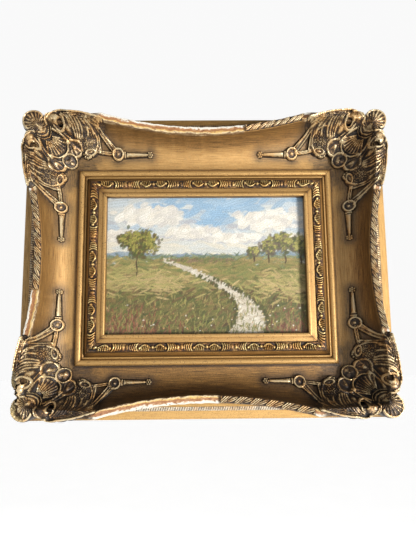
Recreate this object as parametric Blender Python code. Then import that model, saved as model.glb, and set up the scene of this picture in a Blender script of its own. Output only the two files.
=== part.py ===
"""A small oil painting on board in a swept gilded frame with cast composition corner ornaments.

Metres, +Z up, the picture faces -Y. The back of the frame lies in the plane y = 0, where it hangs
against a wall, and the origin is on the back of the top rail, halfway along it.

Three measures are used below. "across" runs from a rail's outer edge inwards to the picture,
"along" runs from the frame's outer corner along a rail, and "height" is measured from the back
plane towards the viewer.
"""

import math

import bmesh
import bpy
import numpy as np
from mathutils import Vector

# The picture, a 7 x 5 inch board
BOARD_WIDTH = 0.178
BOARD_HEIGHT = 0.127
BOARD_THICKNESS = 0.003
LIP_OVERLAP = 0.005
REBATE_SLACK = 0.0005
FIT_GAP = 0.0003

# The slip, the inner moulding around the picture. It is highest at the lip and falls outwards
SLIP_WIDTH = 0.0255
SLIP_BACK_HEIGHT = 0.004
LIP_HEIGHT = 0.018
LIP_THICKNESS = 0.006
LIP_FILLET_WIDTH = 0.0028
LIP_STEP = 0.0005
PLAIN_EDGE_HEIGHT = 0.0171
BAND_OFFSET = 0.0070
BAND_WIDTH = 0.0070
CHANNEL_HEIGHT = 0.0160
SLOPE_RUN = 0.0034
BEAD_FOOT_HEIGHT = 0.0100
SMALL_BEAD_WIDTH = 0.0020
SMALL_BEAD_RISE = 0.0011
BEAD_HEIGHT = 0.0124
BEAD_EDGE_HEIGHT = 0.0100

# The outer rails
RAIL_WIDTH = 0.0425
SIDE_HEIGHT = 0.019
BEVEL_RUN = 0.0140
BEVEL_TOP_HEIGHT = 0.0265
RIDGE_WIDTH = 0.0064
RIDGE_INSET_MIDDLE = 0.0134
RIDGE_INSET_END = 0.0055
RIDGE_CURVE_RADIUS = 0.344
RIDGE_HEIGHT_MIDDLE = 0.0345
RIDGE_HEIGHT_END = 0.0395
RIDGE_LIP = 0.0012
VALLEY_HEIGHT = 0.0085
VALLEY_FLAT = 0.002
COVE_FACETS = 5
MITRE_GAP = 0.0003

# The corner castings
WING_LENGTH = 0.066
WING_TIP = 0.0046
OUTER_FALL_RUN = 0.0055
OUTER_FALL_DEPTH = 0.0041
FILL_POWER = 1.5
FILL_END = 0.050
MITRE_ROUNDING = 0.008
PILLOW_RISE = 0.3
CASTING_OVERHANG = 0.0004
CASTING_TRIANGLES_SHARE = 0.032
CASTING_CELL = 0.00095
SEAT_GAP = 0.00045
SEAT_SKIRT = 0.010
SEAT_MITRE_OVERLAP = 0.001

# The carved leaf strip on the ridge, of which lengths are lost
STRIP_MARGIN = 0.0003
STRIP_EDGE_HEIGHT = 0.0010
STRIP_LEAF_HEIGHT = 0.0026
LEAF_PITCH = 0.0118
TOP_STRIP_START = 0.034
BOTTOM_STRIP_START = 0.010
LEFT_STRIP_END = 0.023

# The carved band in the slip's channel
BAND_EDGE_HEIGHT = 0.0010
BAND_CREST_HEIGHT = 0.0028
BAND_UNIT = 0.0445

# Where the origin lies: this far up from the sight edge on the back of the top rail
ORIGIN_ABOVE_SIGHT = 0.047

SIGHT_WIDTH = BOARD_WIDTH - 2 * LIP_OVERLAP
SIGHT_HEIGHT = BOARD_HEIGHT - 2 * LIP_OVERLAP
SLIP_OUTER_WIDTH = SIGHT_WIDTH + 2 * SLIP_WIDTH
SLIP_OUTER_HEIGHT = SIGHT_HEIGHT + 2 * SLIP_WIDTH
RAIL_INNER_WIDTH = SLIP_OUTER_WIDTH + 2 * FIT_GAP
RAIL_INNER_HEIGHT = SLIP_OUTER_HEIGHT + 2 * FIT_GAP
FRAME_WIDTH = RAIL_INNER_WIDTH + 2 * RAIL_WIDTH
FRAME_HEIGHT = RAIL_INNER_HEIGHT + 2 * RAIL_WIDTH
LIP_UNDERSIDE = LIP_HEIGHT - LIP_THICKNESS
CENTRE_DROP = SIGHT_HEIGHT / 2 + ORIGIN_ABOVE_SIGHT
CASTING_UNIT = WING_LENGTH / 66

# Each side of the frame: its name, quarter turns from the top side, its outer length, the distance
# from the frame's centre to its outer edge, and the span of its ridge that still has its leaf strip
QUARTER = math.pi / 2
STRIP_REACH_LONG = FRAME_WIDTH / 2 - WING_LENGTH - WING_TIP
STRIP_REACH_SHORT = FRAME_HEIGHT / 2 - WING_LENGTH - WING_TIP
SIDES = (
    ("top", 0, FRAME_WIDTH, FRAME_HEIGHT / 2, (TOP_STRIP_START, STRIP_REACH_LONG)),
    ("right", 1, FRAME_HEIGHT, FRAME_WIDTH / 2, (-STRIP_REACH_SHORT, STRIP_REACH_SHORT)),
    ("bottom", 2, FRAME_WIDTH, FRAME_HEIGHT / 2, (-STRIP_REACH_LONG, -BOTTOM_STRIP_START)),
    ("left", 3, FRAME_HEIGHT, FRAME_WIDTH / 2, (-LEFT_STRIP_END, STRIP_REACH_SHORT)),
)


def clear_scene():
    for item in list(bpy.data.objects):
        bpy.data.objects.remove(item)


def material(name, colour, roughness, metallic):
    made = bpy.data.materials.new(name)
    made.use_nodes = True
    shader = made.node_tree.nodes["Principled BSDF"]
    shader.inputs["Base Color"].default_value = (*colour, 1.0)
    shader.inputs["Roughness"].default_value = roughness
    shader.inputs["Metallic"].default_value = metallic
    return made


def place(name, mesh, parent, surface=None):
    item = bpy.data.objects.new(name, mesh)
    bpy.context.scene.collection.objects.link(item)
    item.parent = parent
    if surface:
        mesh.materials.clear()
        mesh.materials.append(surface)
    return item


def as_cutter(item):
    item.hide_render = True
    item.display_type = "WIRE"
    return item


def face_outwards(shape):
    """Turn all faces of a closed bmesh outwards."""
    bmesh.ops.recalc_face_normals(shape, faces=shape.faces[:])
    if shape.calc_volume(signed=True) < 0:
        bmesh.ops.reverse_faces(shape, faces=shape.faces[:])


# Meshes from sections

def loft(name, sections):
    """A closed solid through sections of equal point counts, each a list of points, with both ends capped."""
    shape = bmesh.new()
    rings = [[shape.verts.new(point) for point in section] for section in sections]
    count = len(rings[0])
    for first, second in zip(rings, rings[1:]):
        for i in range(count):
            j = (i + 1) % count
            shape.faces.new((first[i], first[j], second[j], second[i]))
    shape.faces.new(list(reversed(rings[0])))
    shape.faces.new(rings[-1])
    bmesh.ops.triangulate(shape, faces=shape.faces[:])
    face_outwards(shape)
    mesh = bpy.data.meshes.new(name)
    shape.to_mesh(mesh)
    shape.free()
    mesh.shade_smooth()
    mesh.set_sharp_from_angle(angle=math.radians(35))
    return mesh


def side_point(along_side, across, height, reach):
    """A point on the top side: along_side from the middle, across from the outer edge."""
    return Vector((along_side, -height, reach - across))


# The outer rails

def ridge_inset(along, half_length):
    """Distance of the ridge from the rail's outer edge: an arc between the castings, straight under them."""
    reach = half_length - np.maximum(along, WING_LENGTH)
    arc = RIDGE_INSET_MIDDLE - reach * reach / (2 * RIDGE_CURVE_RADIUS)
    share = np.clip((along - RIDGE_INSET_END) / (WING_LENGTH - RIDGE_INSET_END), 0, 1)
    return RIDGE_INSET_END + (arc - RIDGE_INSET_END) * share


def ridge_height(along, half_length):
    reach = np.clip((half_length - along) / (half_length - WING_LENGTH), 0, 1)
    return RIDGE_HEIGHT_MIDDLE + (RIDGE_HEIGHT_END - RIDGE_HEIGHT_MIDDLE) * reach * reach


def cove_height(across, cove_start, cove_top, power):
    """From the ridge's inner edge down to the valley: a quarter ellipse at power 2, fuller below that."""
    run = RAIL_WIDTH - VALLEY_FLAT - cove_start
    share = np.clip((across - cove_start) / run, 0, 1)
    return cove_top - (cove_top - VALLEY_HEIGHT) * (1 - (1 - share) ** power) ** (1 / power)


def rail_section(along, half_length, gap=0.0):
    """(across, height) points of an outer rail, grown outwards by gap."""
    inset = float(ridge_inset(along, half_length))
    top = float(ridge_height(along, half_length))
    bevel = SIDE_HEIGHT + (BEVEL_TOP_HEIGHT - SIDE_HEIGHT) * min(inset / BEVEL_RUN, 1)
    cove_start = inset + RIDGE_WIDTH
    points = [
        (-gap, 0.0 - gap),
        (-gap, SIDE_HEIGHT + gap),
        (inset - gap, bevel + gap),
        (inset - gap, top + gap),
        (cove_start + gap, top + gap),
    ]
    run = RAIL_WIDTH - VALLEY_FLAT - cove_start
    for step in range(COVE_FACETS + 1):
        angle = QUARTER * step / COVE_FACETS
        across = RAIL_WIDTH - VALLEY_FLAT - run * math.cos(angle)
        height = top - RIDGE_LIP - (top - RIDGE_LIP - VALLEY_HEIGHT) * math.sin(angle)
        points.append((across + gap * math.cos(angle), height + gap))
    points.append((RAIL_WIDTH + gap, VALLEY_HEIGHT + gap))
    points.append((RAIL_WIDTH + gap, 0.0 - gap))
    return points


def seat_section(along, half_length):
    """The rail's section grown by the seat gap, with skirts that trim the casting beside the rail."""
    outer = [(-SEAT_SKIRT, -SEAT_GAP), (-SEAT_SKIRT, SIDE_HEIGHT + SEAT_GAP)]
    inner = [(RAIL_WIDTH + SEAT_SKIRT, VALLEY_HEIGHT + SEAT_GAP), (RAIL_WIDTH + SEAT_SKIRT, -SEAT_GAP)]
    return outer + rail_section(along, half_length, SEAT_GAP)[1:-2] + inner


def rail_stations(half_length):
    """Distances from the outer corner at which a rail's section is drawn, up to its middle."""
    run = half_length - WING_LENGTH
    return [WING_LENGTH + run * share for share in (0, 0.18, 0.37, 0.57, 0.78)]


def rail_mesh(name, length, reach, section=rail_section, mitre_gap=MITRE_GAP):
    half = length / 2
    sections = []
    end_section = section(0, half)
    start = [side_point(-half + across + mitre_gap, across, height, reach) for across, height in end_section]
    sections.append(start)
    stations = rail_stations(half)
    for along in stations:
        sections.append([side_point(along - half, *point, reach) for point in section(along, half)])
    sections.append([side_point(0, *point, reach) for point in section(half, half)])
    for along in reversed(stations):
        sections.append([side_point(half - along, *point, reach) for point in section(along, half)])
    end = [side_point(half - across - mitre_gap, across, height, reach) for across, height in end_section]
    sections.append(end)
    return loft(name, sections)


# The slip

def slip_section():
    """(distance outwards from the sight edge, height) points of the slip."""
    flat_start = LIP_FILLET_WIDTH + LIP_STEP
    channel_end = BAND_OFFSET + BAND_WIDTH + 2 * FIT_GAP
    slope_end = channel_end + SLOPE_RUN
    bead_start = slope_end + SMALL_BEAD_WIDTH
    bead_middle = (bead_start + SLIP_WIDTH) / 2
    rebate_wall = LIP_OVERLAP + REBATE_SLACK
    points = [
        (0.0, LIP_UNDERSIDE),
        (0.0, LIP_HEIGHT),
        (LIP_FILLET_WIDTH, LIP_HEIGHT),
        (flat_start, LIP_HEIGHT - LIP_STEP),
        (BAND_OFFSET, PLAIN_EDGE_HEIGHT),
        (BAND_OFFSET, CHANNEL_HEIGHT),
        (channel_end, CHANNEL_HEIGHT),
        (slope_end, BEAD_FOOT_HEIGHT),
        (slope_end + SMALL_BEAD_WIDTH / 2, BEAD_FOOT_HEIGHT + SMALL_BEAD_RISE),
        (bead_start, BEAD_FOOT_HEIGHT),
    ]
    for share in (-0.8, -0.35, 0.35, 0.8):
        out = bead_middle + share * (SLIP_WIDTH - bead_middle)
        points.append((out, BEAD_FOOT_HEIGHT + (BEAD_HEIGHT - BEAD_FOOT_HEIGHT) * math.sqrt(1 - share * share)))
    points += [
        (SLIP_WIDTH, BEAD_EDGE_HEIGHT),
        (SLIP_WIDTH, SLIP_BACK_HEIGHT),
        (rebate_wall, SLIP_BACK_HEIGHT),
        (rebate_wall, LIP_UNDERSIDE),
    ]
    return points


def slip_mesh(name, sight_length, sight_reach):
    """A mitred length of the slip on the top side: sight_reach is from the centre to the sight edge."""
    ends = []
    for sign in (-1, 1):
        ends.append([
            Vector((sign * (sight_length / 2 + out - MITRE_GAP), -height, sight_reach + out))
            for out, height in slip_section()
        ])
    return loft(name, ends)


# The carved band in the slip's channel: a repeat of ribs, a leaf and a bud, mirrored

BAND_STEPS = (
    (0.00, 0.15), (0.07, 1.00), (0.14, 0.40), (0.22, 0.95), (0.42, 0.35), (0.50, 0.95),
)


def band_profile(half_length):
    """(distance from the middle, crest share) pairs from the middle out to half_length."""
    stations = []
    mirrored = [(1 - share, crest) for share, crest in reversed(BAND_STEPS[:-1])]
    unit = list(BAND_STEPS) + mirrored
    start = 0.5
    repeat = 0
    while (repeat - start) * BAND_UNIT < half_length:
        for share, crest in unit:
            place_along = (repeat + share - start) * BAND_UNIT
            if -1e-9 <= place_along < half_length - 0.2 * BAND_WIDTH:
                stations.append((place_along, crest))
        repeat += 1
    return stations


def band_mesh(name, sight_length, sight_reach):
    floor = CHANNEL_HEIGHT + FIT_GAP
    near = BAND_OFFSET + FIT_GAP
    far = near + BAND_WIDTH
    middle = (near + far) / 2
    half = sight_length / 2

    def section(along, crest, mitre):
        """mitre is the sign of the end that is cut, or 0 between the ends."""
        points = []
        crest_height = floor + BAND_EDGE_HEIGHT + (BAND_CREST_HEIGHT - BAND_EDGE_HEIGHT) * crest
        edge = floor + BAND_EDGE_HEIGHT
        for out, height in ((near, floor), (near, edge), (middle, crest_height), (far, edge), (far, floor)):
            x = mitre * (half + out - MITRE_GAP) if mitre else along
            points.append(Vector((x, -height, sight_reach + out)))
        return points

    stations = [s for s in band_profile(half + near) if s[0] > 1e-6]
    sections = [section(0, 0.3, -1)]
    sections += [section(-along, crest, 0) for along, crest in reversed(stations)]
    sections.append(section(0.0, BAND_STEPS[-1][1], 0))
    sections += [section(along, crest, 0) for along, crest in stations]
    sections.append(section(0, 0.3, 1))
    return loft(name, sections)


# The leaf strip on the ridge

LEAF_STEPS = ((0.0, 0.10, 0.50), (0.25, 1.00, 0.28), (0.72, 0.95, 0.72))


def strip_mesh(name, length, reach, span):
    """The strip from span[0] to span[1] along the top side. Each leaf crosses it from one edge to the other."""
    half = length / 2
    low, high = span
    leaves = max(1, round((high - low) / LEAF_PITCH))
    pitch = (high - low) / leaves
    sections = []

    def section(x, crest, shift):
        along = half - abs(x)
        inset = ridge_inset(along, half)
        floor = ridge_height(along, half) + FIT_GAP
        near = inset + STRIP_MARGIN
        far = inset + RIDGE_WIDTH - STRIP_MARGIN
        edge = floor + STRIP_EDGE_HEIGHT
        top = edge + (STRIP_LEAF_HEIGHT - STRIP_EDGE_HEIGHT) * crest
        middle = near + (far - near) * shift
        outline = ((near, floor), (near, edge), (middle, top), (far, edge), (far, floor))
        return [side_point(x, across, height, reach) for across, height in outline]

    for leaf in range(leaves):
        for share, crest, shift in LEAF_STEPS:
            sections.append(section(low + (leaf + share) * pitch, crest, shift))
    sections.append(section(high, LEAF_STEPS[0][1], LEAF_STEPS[0][2]))
    return loft(name, sections)


# Carving of a corner casting. Points below are (along, across) on one wing, in casting units, where
# the wing is 66 units long. The other wing is its mirror image in the mitre.

BODY_DISCS = (
    (10.6, 10.6, 9.8), (17, 17, 6.5), (25.5, 10.5, 6.8), (33, 11.4, 11.0), (40, 11.5, 10.8), (47, 12, 10.2),
    (54, 12, 8.2), (60, 11, 5.6), (63.8, 10, 3.8), (26, 22, 8.6), (35, 22, 8.5), (45, 19.5, 8.8),
    (51, 21, 8.6), (54, 25, 6.4), (50.5, 29, 4.4), (40, 26.5, 6.8), (36, 30, 7.4), (35.6, 35.6, 6.5),
)
PENDANT_SEGMENTS = (
    ((60, 12), (61, 26), 2.0, 2.0), ((61, 11), (74, 28), 2.3, 2.3), ((66, 16), (76, 26), 1.8, 2.0),
    ((58, 26.5), (74, 28.6), 1.9, 2.0), ((76.6, 28.9), (76.6, 28.9), 5.6, 5.6),
    ((79, 29.2), (85, 29.4), 3.2, 2.8), ((85, 29.4), (103, 29.6), 2.7, 1.8),
    ((104.2, 29.6), (104.2, 29.6), 2.9, 2.9),
)
SHELL = (10.6, 10.6)
SHELL_RADIUS = 9.8
SHELL_HUB = (15.0, 15.0)
VOLUTE_EYE = (31.0, 10.4)
CURL_HUB = (13.0, 13.0)
FAN_APEX = (18.0, 18.0)
ROSETTE = (35.6, 35.6)
RING = (76.6, 28.9)
DROP_FLOWER = (104.2, 29.6)
FEATHERS = (
    ((34, 4.2), (37, 7), (38, 10.5)), ((37.5, 4.0), (41, 7.5), (41.5, 12.5)), ((41, 4.3), (45, 8.5), (43.5, 17)),
    ((44.5, 4.8), (49, 9.5), (47, 18)), ((48, 5.4), (53, 9.5), (50, 14.5)), ((51, 6.2), (57, 9.2), (56.5, 12)),
    ((54, 6.8), (60, 9.6), (64, 10)),
)


def segment_distance(p, q, first, second):
    """Distance to the segment first-second and the share of the way along it."""
    ax, ay = first
    dx, dy = second[0] - ax, second[1] - ay
    squared = dx * dx + dy * dy
    share = np.clip(((p - ax) * dx + (q - ay) * dy) / squared, 0, 1) if squared else np.zeros_like(p)
    return np.hypot(p - ax - share * dx, q - ay - share * dy), share


def bow(first, bend, second, steps=8):
    """Points of a quadratic curve from first to second, pulled towards bend."""
    points = []
    for i in range(steps + 1):
        t = i / steps
        points.append(tuple(
            (1 - t) ** 2 * a + 2 * t * (1 - t) * b + t * t * c for a, b, c in zip(first, bend, second)
        ))
    return points


def rib(p, q, points, width, height):
    """A round rib of the given half width along points."""
    nearest = np.full_like(p, 1e9)
    for first, second in zip(points, points[1:]):
        nearest = np.minimum(nearest, segment_distance(p, q, first, second)[0])
    return height * np.sqrt(np.clip(1 - (nearest / width) ** 2, 0, 1))


def outline_distance(p, q):
    """Distance outside the casting's outline, negative inside it."""
    found = np.full_like(p, 1e9)
    for x, y, radius in BODY_DISCS:
        found = np.minimum(found, np.hypot(p - x, q - y) - radius)
    for first, second, start, end in PENDANT_SEGMENTS:
        away, share = segment_distance(p, q, first, second)
        found = np.minimum(found, away - (start + (end - start) * share))
    return found


def dome(p, q, centre, along, across, height, tilt=0.0):
    """A rounded boss with the given half length and half width, turned by tilt degrees."""
    c, s = math.cos(math.radians(tilt)), math.sin(math.radians(tilt))
    u = ((p - centre[0]) * c + (q - centre[1]) * s) / along
    v = ((q - centre[1]) * c - (p - centre[0]) * s) / across
    return height * np.sqrt(np.clip(1 - u * u - v * v, 0, 1))


def polar(p, q, centre):
    """Distance from centre and the angle about it, 0 along the mitre towards the picture."""
    return np.hypot(p - centre[0], q - centre[1]), np.arctan2(q - centre[1], p - centre[0]) - math.pi / 4


def carving(p, q):
    """Height of the carving over the casting's smooth body, in casting units."""
    # The scallop shell on the outer corner: a raised rim, ribs that spread from its hub, and the hub
    r, _ = polar(p, q, SHELL)
    _, turn = polar(p, q, SHELL_HUB)
    outward = (SHELL[0] - p + SHELL[1] - q) > -6
    made = np.where(r < SHELL_RADIUS, 2.5 + 0.9 * np.cos(turn * 13) * np.clip(r / 5, 0, 1), 0)
    rim = 4.9 * np.sqrt(np.clip(1 - ((r - 8.1) / 1.7) ** 2, 0, 1))
    made = np.maximum(made, np.where(outward, rim, 0))
    made = np.maximum(made, dome(p, q, SHELL_HUB, 2.5, 2.5, 5.4))
    # The volute: its round head, the roll that curls over the eye and runs along the edge, an inner curl
    made = np.maximum(made, dome(p, q, (25.8, 7.6), 6.0, 5.2, 5.6, 15))
    roll = bow((22, 9), (27, -2.0), (38, 2.6)) + bow((38, 2.6), (52, 3.6), (65.5, 8.4))[1:]
    made = np.maximum(made, rib(p, q, roll, 1.7, 5.2))
    curl = bow((26.5, 12.5), (32, 19.0), (36, 11.5)) + bow((36, 11.5), (36.5, 7.0), (32.5, 5.5))[1:]
    made = np.maximum(made, rib(p, q, curl, 1.3, 4.0))
    # Feathers from the roll towards the cove, and the smooth leaf beside the eye
    for first, bend, last in FEATHERS:
        made = np.maximum(made, rib(p, q, bow(first, bend, last, 6), 1.15, 3.5))
    made = np.maximum(made, dome(p, q, (38.5, 14.6), 5.6, 3.8, 3.9, 12))
    made = np.maximum(made, rib(p, q, bow((28, 16), (36, 21), (44, 19)), 1.1, 3.0))
    # Nested curls along the mitre, then the ribbed fan with its bracket
    r, turn = polar(p, q, CURL_HUB)
    curls = 3.0 + 1.2 * np.cos((r - 4) * 2 * math.pi / 2.8)
    made = np.maximum(made, np.where((r > 2.5) & (r < 10.5) & (np.abs(turn) < 0.75), curls, 0))
    r, turn = polar(p, q, FAN_APEX)
    fan = 2.4 + 0.8 * np.cos(turn * 24) + 1.8 * np.sin(np.clip(r / 17, 0, 1) * math.pi)
    made = np.maximum(made, np.where((r > 5) & (r < 17) & (np.abs(turn) < 0.62), fan, 0))
    bracket = bow((34.6, 22), (35.6, 28.5), (31, 31), 6)
    made = np.maximum(made, rib(p, q, bracket, 1.1, 3.4))
    made = np.maximum(made, dome(p, q, (34.8, 22.6), 2.3, 2.3, 4.2))
    # The outer lobe with its raised edge
    made = np.maximum(made, dome(p, q, (40.8, 26.2), 4.6, 4.8, 2.5))
    lobe_edge = bow((37, 20.6), (47.0, 20.0), (46.2, 26.5)) + bow((46.2, 26.5), (45.6, 31), (40.5, 31.6))[1:]
    made = np.maximum(made, rib(p, q, lobe_edge, 1.1, 3.3))
    # The panel's raised edge and the almond in its lower corner
    panel_edge = bow((50, 13), (60.5, 12.5), (59.6, 21)) + bow((59.6, 21), (58.5, 29.5), (49.5, 31.6))[1:]
    made = np.maximum(made, rib(p, q, panel_edge, 1.15, 3.1))
    made = np.maximum(made, dome(p, q, (53.0, 27.4), 4.4, 2.0, 3.2, -18))
    # The rosette at the inner corner
    r, turn = polar(p, q, ROSETTE)
    petals = 1.9 + 0.9 * np.cos(turn * 6) * np.clip(r / 3, 0, 1)
    made = np.maximum(made, np.where(r < 5.0, petals, 0))
    made = np.maximum(made, 3.1 * np.sqrt(np.clip(1 - ((r - 5.3) / 1.2) ** 2, 0, 1)))
    made = np.maximum(made, dome(p, q, ROSETTE, 1.5, 1.5, 3.2))
    # The struts, the ring and the drop that hang along the cove
    made = np.maximum(made, rib(p, q, [(59.8, 12), (61, 26)], 1.2, 2.6))
    made = np.maximum(made, rib(p, q, [(61, 11.5), (73, 26.5)], 1.3, 2.8))
    made = np.maximum(made, rib(p, q, [(66.5, 16.5), (76, 25.5)], 1.0, 2.4))
    made = np.maximum(made, rib(p, q, [(58, 26.4), (73, 28.4)], 1.1, 2.3))
    r, _ = polar(p, q, RING)
    made = np.maximum(made, 2.8 * np.sqrt(np.clip(1 - ((r - 4.2) / 1.5) ** 2, 0, 1)))
    made = np.maximum(made, dome(p, q, RING, 2.0, 2.0, 2.2))
    made = np.maximum(made, rib(p, q, [(83.4, 27.6), (83.4, 31.4)], 1.3, 2.8))
    away, share = segment_distance(p, q, (85, 29.4), (100.5, 29.6))
    width = 2.3 - 1.0 * share
    made = np.maximum(made, 3.0 * np.sqrt(np.clip(1 - (away / width) ** 2, 0, 1)))
    made = np.maximum(made, dome(p, q, DROP_FLOWER, 2.8, 2.8, 2.6))
    # The eye of the volute is bored last
    r, _ = polar(p, q, VOLUTE_EYE)
    return np.where(r < 2.4, -0.2, made)


def carrier_height(along, across, half_length):
    """The smooth surface that the casting's relief stands on, a little outside the rail."""
    inset = ridge_inset(along, half_length)
    top = ridge_height(along, half_length)
    fall = OUTER_FALL_DEPTH * (np.clip(inset - across, 0, None) / OUTER_FALL_RUN) ** 1.5
    slim = np.clip((along - FILL_END) / (WING_LENGTH - FILL_END), 0, 1)
    power = FILL_POWER + (2 - FILL_POWER) * slim
    return cove_height(across, inset + RIDGE_WIDTH, top, power) - fall


def casting_height(a, b, half_a, half_b, broken):
    """Height of a casting's top at a and b, the distances from the frame's two outer edges."""
    p = np.maximum(a, b) / CASTING_UNIT
    q = np.minimum(a, b) / CASTING_UNIT
    overlap = np.clip(1 - np.abs(a - b) / MITRE_ROUNDING, 0, 1)
    across = np.minimum(a, b) - overlap * overlap * MITRE_ROUNDING / 4
    half = np.where(a > b, half_a, half_b)
    carrier = carrier_height(np.maximum(a, b), across, half)
    outside = outline_distance(p, q)
    body = 2.0 * np.sqrt(np.clip(-outside / 1.2, 0, 1))
    pillow = PILLOW_RISE * np.clip(-outside, 0, None)
    carved = carving(p, q) * np.clip(-outside / 0.8, 0, 1)
    wall = np.where(q < 8, 40.0, 2.5)
    relief = pillow + np.maximum(body, carved) - wall * np.clip(outside + 0.2, 0, None)
    top = carrier + relief * CASTING_UNIT
    if broken:
        # The shell and the rim of one volute are broken off down to a rough shelf
        u = a / CASTING_UNIT
        v = b / CASTING_UNIT
        jagged = 5.0 + 1.0 * np.sin(u * 0.7) + 0.6 * np.sin(u * 1.9 + 1)
        lost = (v < jagged) & (u < 40) | (np.hypot(u, v) < 13)
        shelf = RIDGE_HEIGHT_END + CASTING_UNIT * (0.5 * np.sin(u * 1.5) * np.cos(v * 1.7) - 1)
        top = np.where(lost, np.minimum(top, shelf), top)
    return top


def casting_mesh(name, half_a, half_b, broken):
    """A block whose top is the casting's height on a fine grid. Cutters later take off what is below it."""
    low = -CASTING_OVERHANG
    high = 110.0 * CASTING_UNIT
    inner = RAIL_WIDTH + SEAT_SKIRT / 2
    count = round((high - low) / CASTING_CELL)
    ticks = [low + (high - low) * i / count for i in range(count + 1)]
    grid_a, grid_b = np.meshgrid(ticks, ticks, indexing="ij")
    tops = casting_height(grid_a, grid_b, half_a, half_b, broken)
    sheet = VALLEY_HEIGHT * 2 / 3
    floor = VALLEY_HEIGHT / 3
    tops = np.maximum(tops, sheet)
    shape = bmesh.new()
    upper = {}
    lower = {}

    def corner(store, i, j, height):
        if (i, j) not in store:
            store[i, j] = shape.verts.new((ticks[i], -height, -ticks[j]))
        return store[i, j]

    used = set()
    for i in range(count):
        for j in range(count):
            if ticks[i] < inner or ticks[j] < inner:
                used.add((i, j))
    for i, j in used:
        ring = ((i, j), (i + 1, j), (i + 1, j + 1), (i, j + 1))
        top_ring = [corner(upper, *key, tops[key]) for key in ring]
        shape.faces.new(top_ring)
        low_ring = [corner(lower, *key, floor) for key in ring]
        shape.faces.new(list(reversed(low_ring)))
        for (di, dj), (k, m) in (((-1, 0), (3, 0)), ((1, 0), (1, 2)), ((0, -1), (0, 1)), ((0, 1), (2, 3))):
            if (i + di, j + dj) not in used:
                shape.faces.new((top_ring[m], top_ring[k], low_ring[k], low_ring[m]))
    face_outwards(shape)
    mesh = bpy.data.meshes.new(name)
    shape.to_mesh(mesh)
    shape.free()
    return mesh


def add_boolean(item, cutter):
    cut = item.modifiers.new("cut_" + cutter.name, "BOOLEAN")
    cut.operation = "DIFFERENCE"
    cut.solver = "EXACT"
    cut.object = cutter


def box_mesh(name, low, high):
    shape = bmesh.new()
    bmesh.ops.create_cube(shape, size=1.0)
    for vertex in shape.verts:
        for axis in range(3):
            share = vertex.co[axis] + 0.5
            vertex.co[axis] = low[axis] + (high[axis] - low[axis]) * share
    mesh = bpy.data.meshes.new(name)
    shape.to_mesh(mesh)
    shape.free()
    return mesh


def make_castings(centre, seats, surface):
    """The four castings, each cut to sit on the two rails that it covers."""
    corners = (
        ("top_left", 0, -1, 1, ("top", "left")),
        ("top_right", 1, 1, 1, ("right", "top")),
        ("bottom_right", 2, 1, -1, ("bottom", "right")),
        ("bottom_left", 3, -1, -1, ("left", "bottom")),
    )
    halves = {side: length / 2 for side, quarter, length, reach, span in SIDES}
    for name, quarter, right, up, covered in corners:
        half_a, half_b = (halves[side] for side in covered)
        mesh = casting_mesh("corner_casting", half_a, half_b, broken=name == "bottom_left")
        item = place("corner_casting_" + name, mesh, centre, surface)
        item.location = (right * FRAME_WIDTH / 2, 0, up * FRAME_HEIGHT / 2)
        item.rotation_euler = (0, quarter * QUARTER, 0)
        thin = item.modifiers.new("fewer_faces", "DECIMATE")
        thin.ratio = CASTING_TRIANGLES_SHARE
        for side in covered:
            add_boolean(item, seats[side])


def main():
    clear_scene()
    centre = bpy.data.objects.new("frame_centre", None)
    bpy.context.scene.collection.objects.link(centre)
    centre.location = (0, 0, -CENTRE_DROP)
    gilt = material("gilt_rail", (0.50, 0.30, 0.10), 0.38, 0.75)
    slip_gilt = material("gilt_slip", (0.56, 0.34, 0.11), 0.34, 0.8)
    antique = material("antique_casting", (0.30, 0.22, 0.12), 0.45, 0.65)
    carved = material("carved_band", (0.36, 0.25, 0.12), 0.42, 0.65)
    paint = material("oil_paint", (0.45, 0.44, 0.33), 0.45, 0.0)

    seats = {}
    for side, quarter, length, reach, span in SIDES:
        turned = (0, quarter * QUARTER, 0)
        rail = place("rail_" + side, rail_mesh("rail_" + side, length, reach), centre, gilt)
        rail.rotation_euler = turned
        seat_mesh = rail_mesh("seat_" + side, length, reach, seat_section, -SEAT_MITRE_OVERLAP)
        seats[side] = as_cutter(place("seat_" + side, seat_mesh, centre))
        seats[side].rotation_euler = turned
        strip = place("leaf_strip_" + side, strip_mesh("leaf_strip", length, reach, span), centre, antique)
        strip.rotation_euler = turned
        sight_length = SIGHT_WIDTH if quarter % 2 == 0 else SIGHT_HEIGHT
        sight_reach = (SIGHT_HEIGHT if quarter % 2 == 0 else SIGHT_WIDTH) / 2
        slip = place("slip_" + side, slip_mesh("slip", sight_length, sight_reach), centre, slip_gilt)
        slip.rotation_euler = turned
        band = place("slip_band_" + side, band_mesh("slip_band", sight_length, sight_reach), centre, carved)
        band.rotation_euler = turned
    make_castings(centre, seats, antique)

    front = LIP_UNDERSIDE - FIT_GAP
    low = (-BOARD_WIDTH / 2, -front, -BOARD_HEIGHT / 2)
    high = (BOARD_WIDTH / 2, -(front - BOARD_THICKNESS), BOARD_HEIGHT / 2)
    place("painted_board", box_mesh("painted_board", low, high), centre, paint)


main()
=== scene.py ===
"""Looks of a small oil painting in a worn swept gilt frame with cast corner ornaments.

Metres, in the model's frame: the picture faces -Y and the back of the frame lies in y = 0.
"across" runs from a rail's outer edge inwards to the picture, "along" runs from the frame's outer
corner along a rail, and "height" is measured from the back plane towards the viewer.
"""

import math

import bpy
import numpy as np
from mathutils import Matrix, Vector


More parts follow.
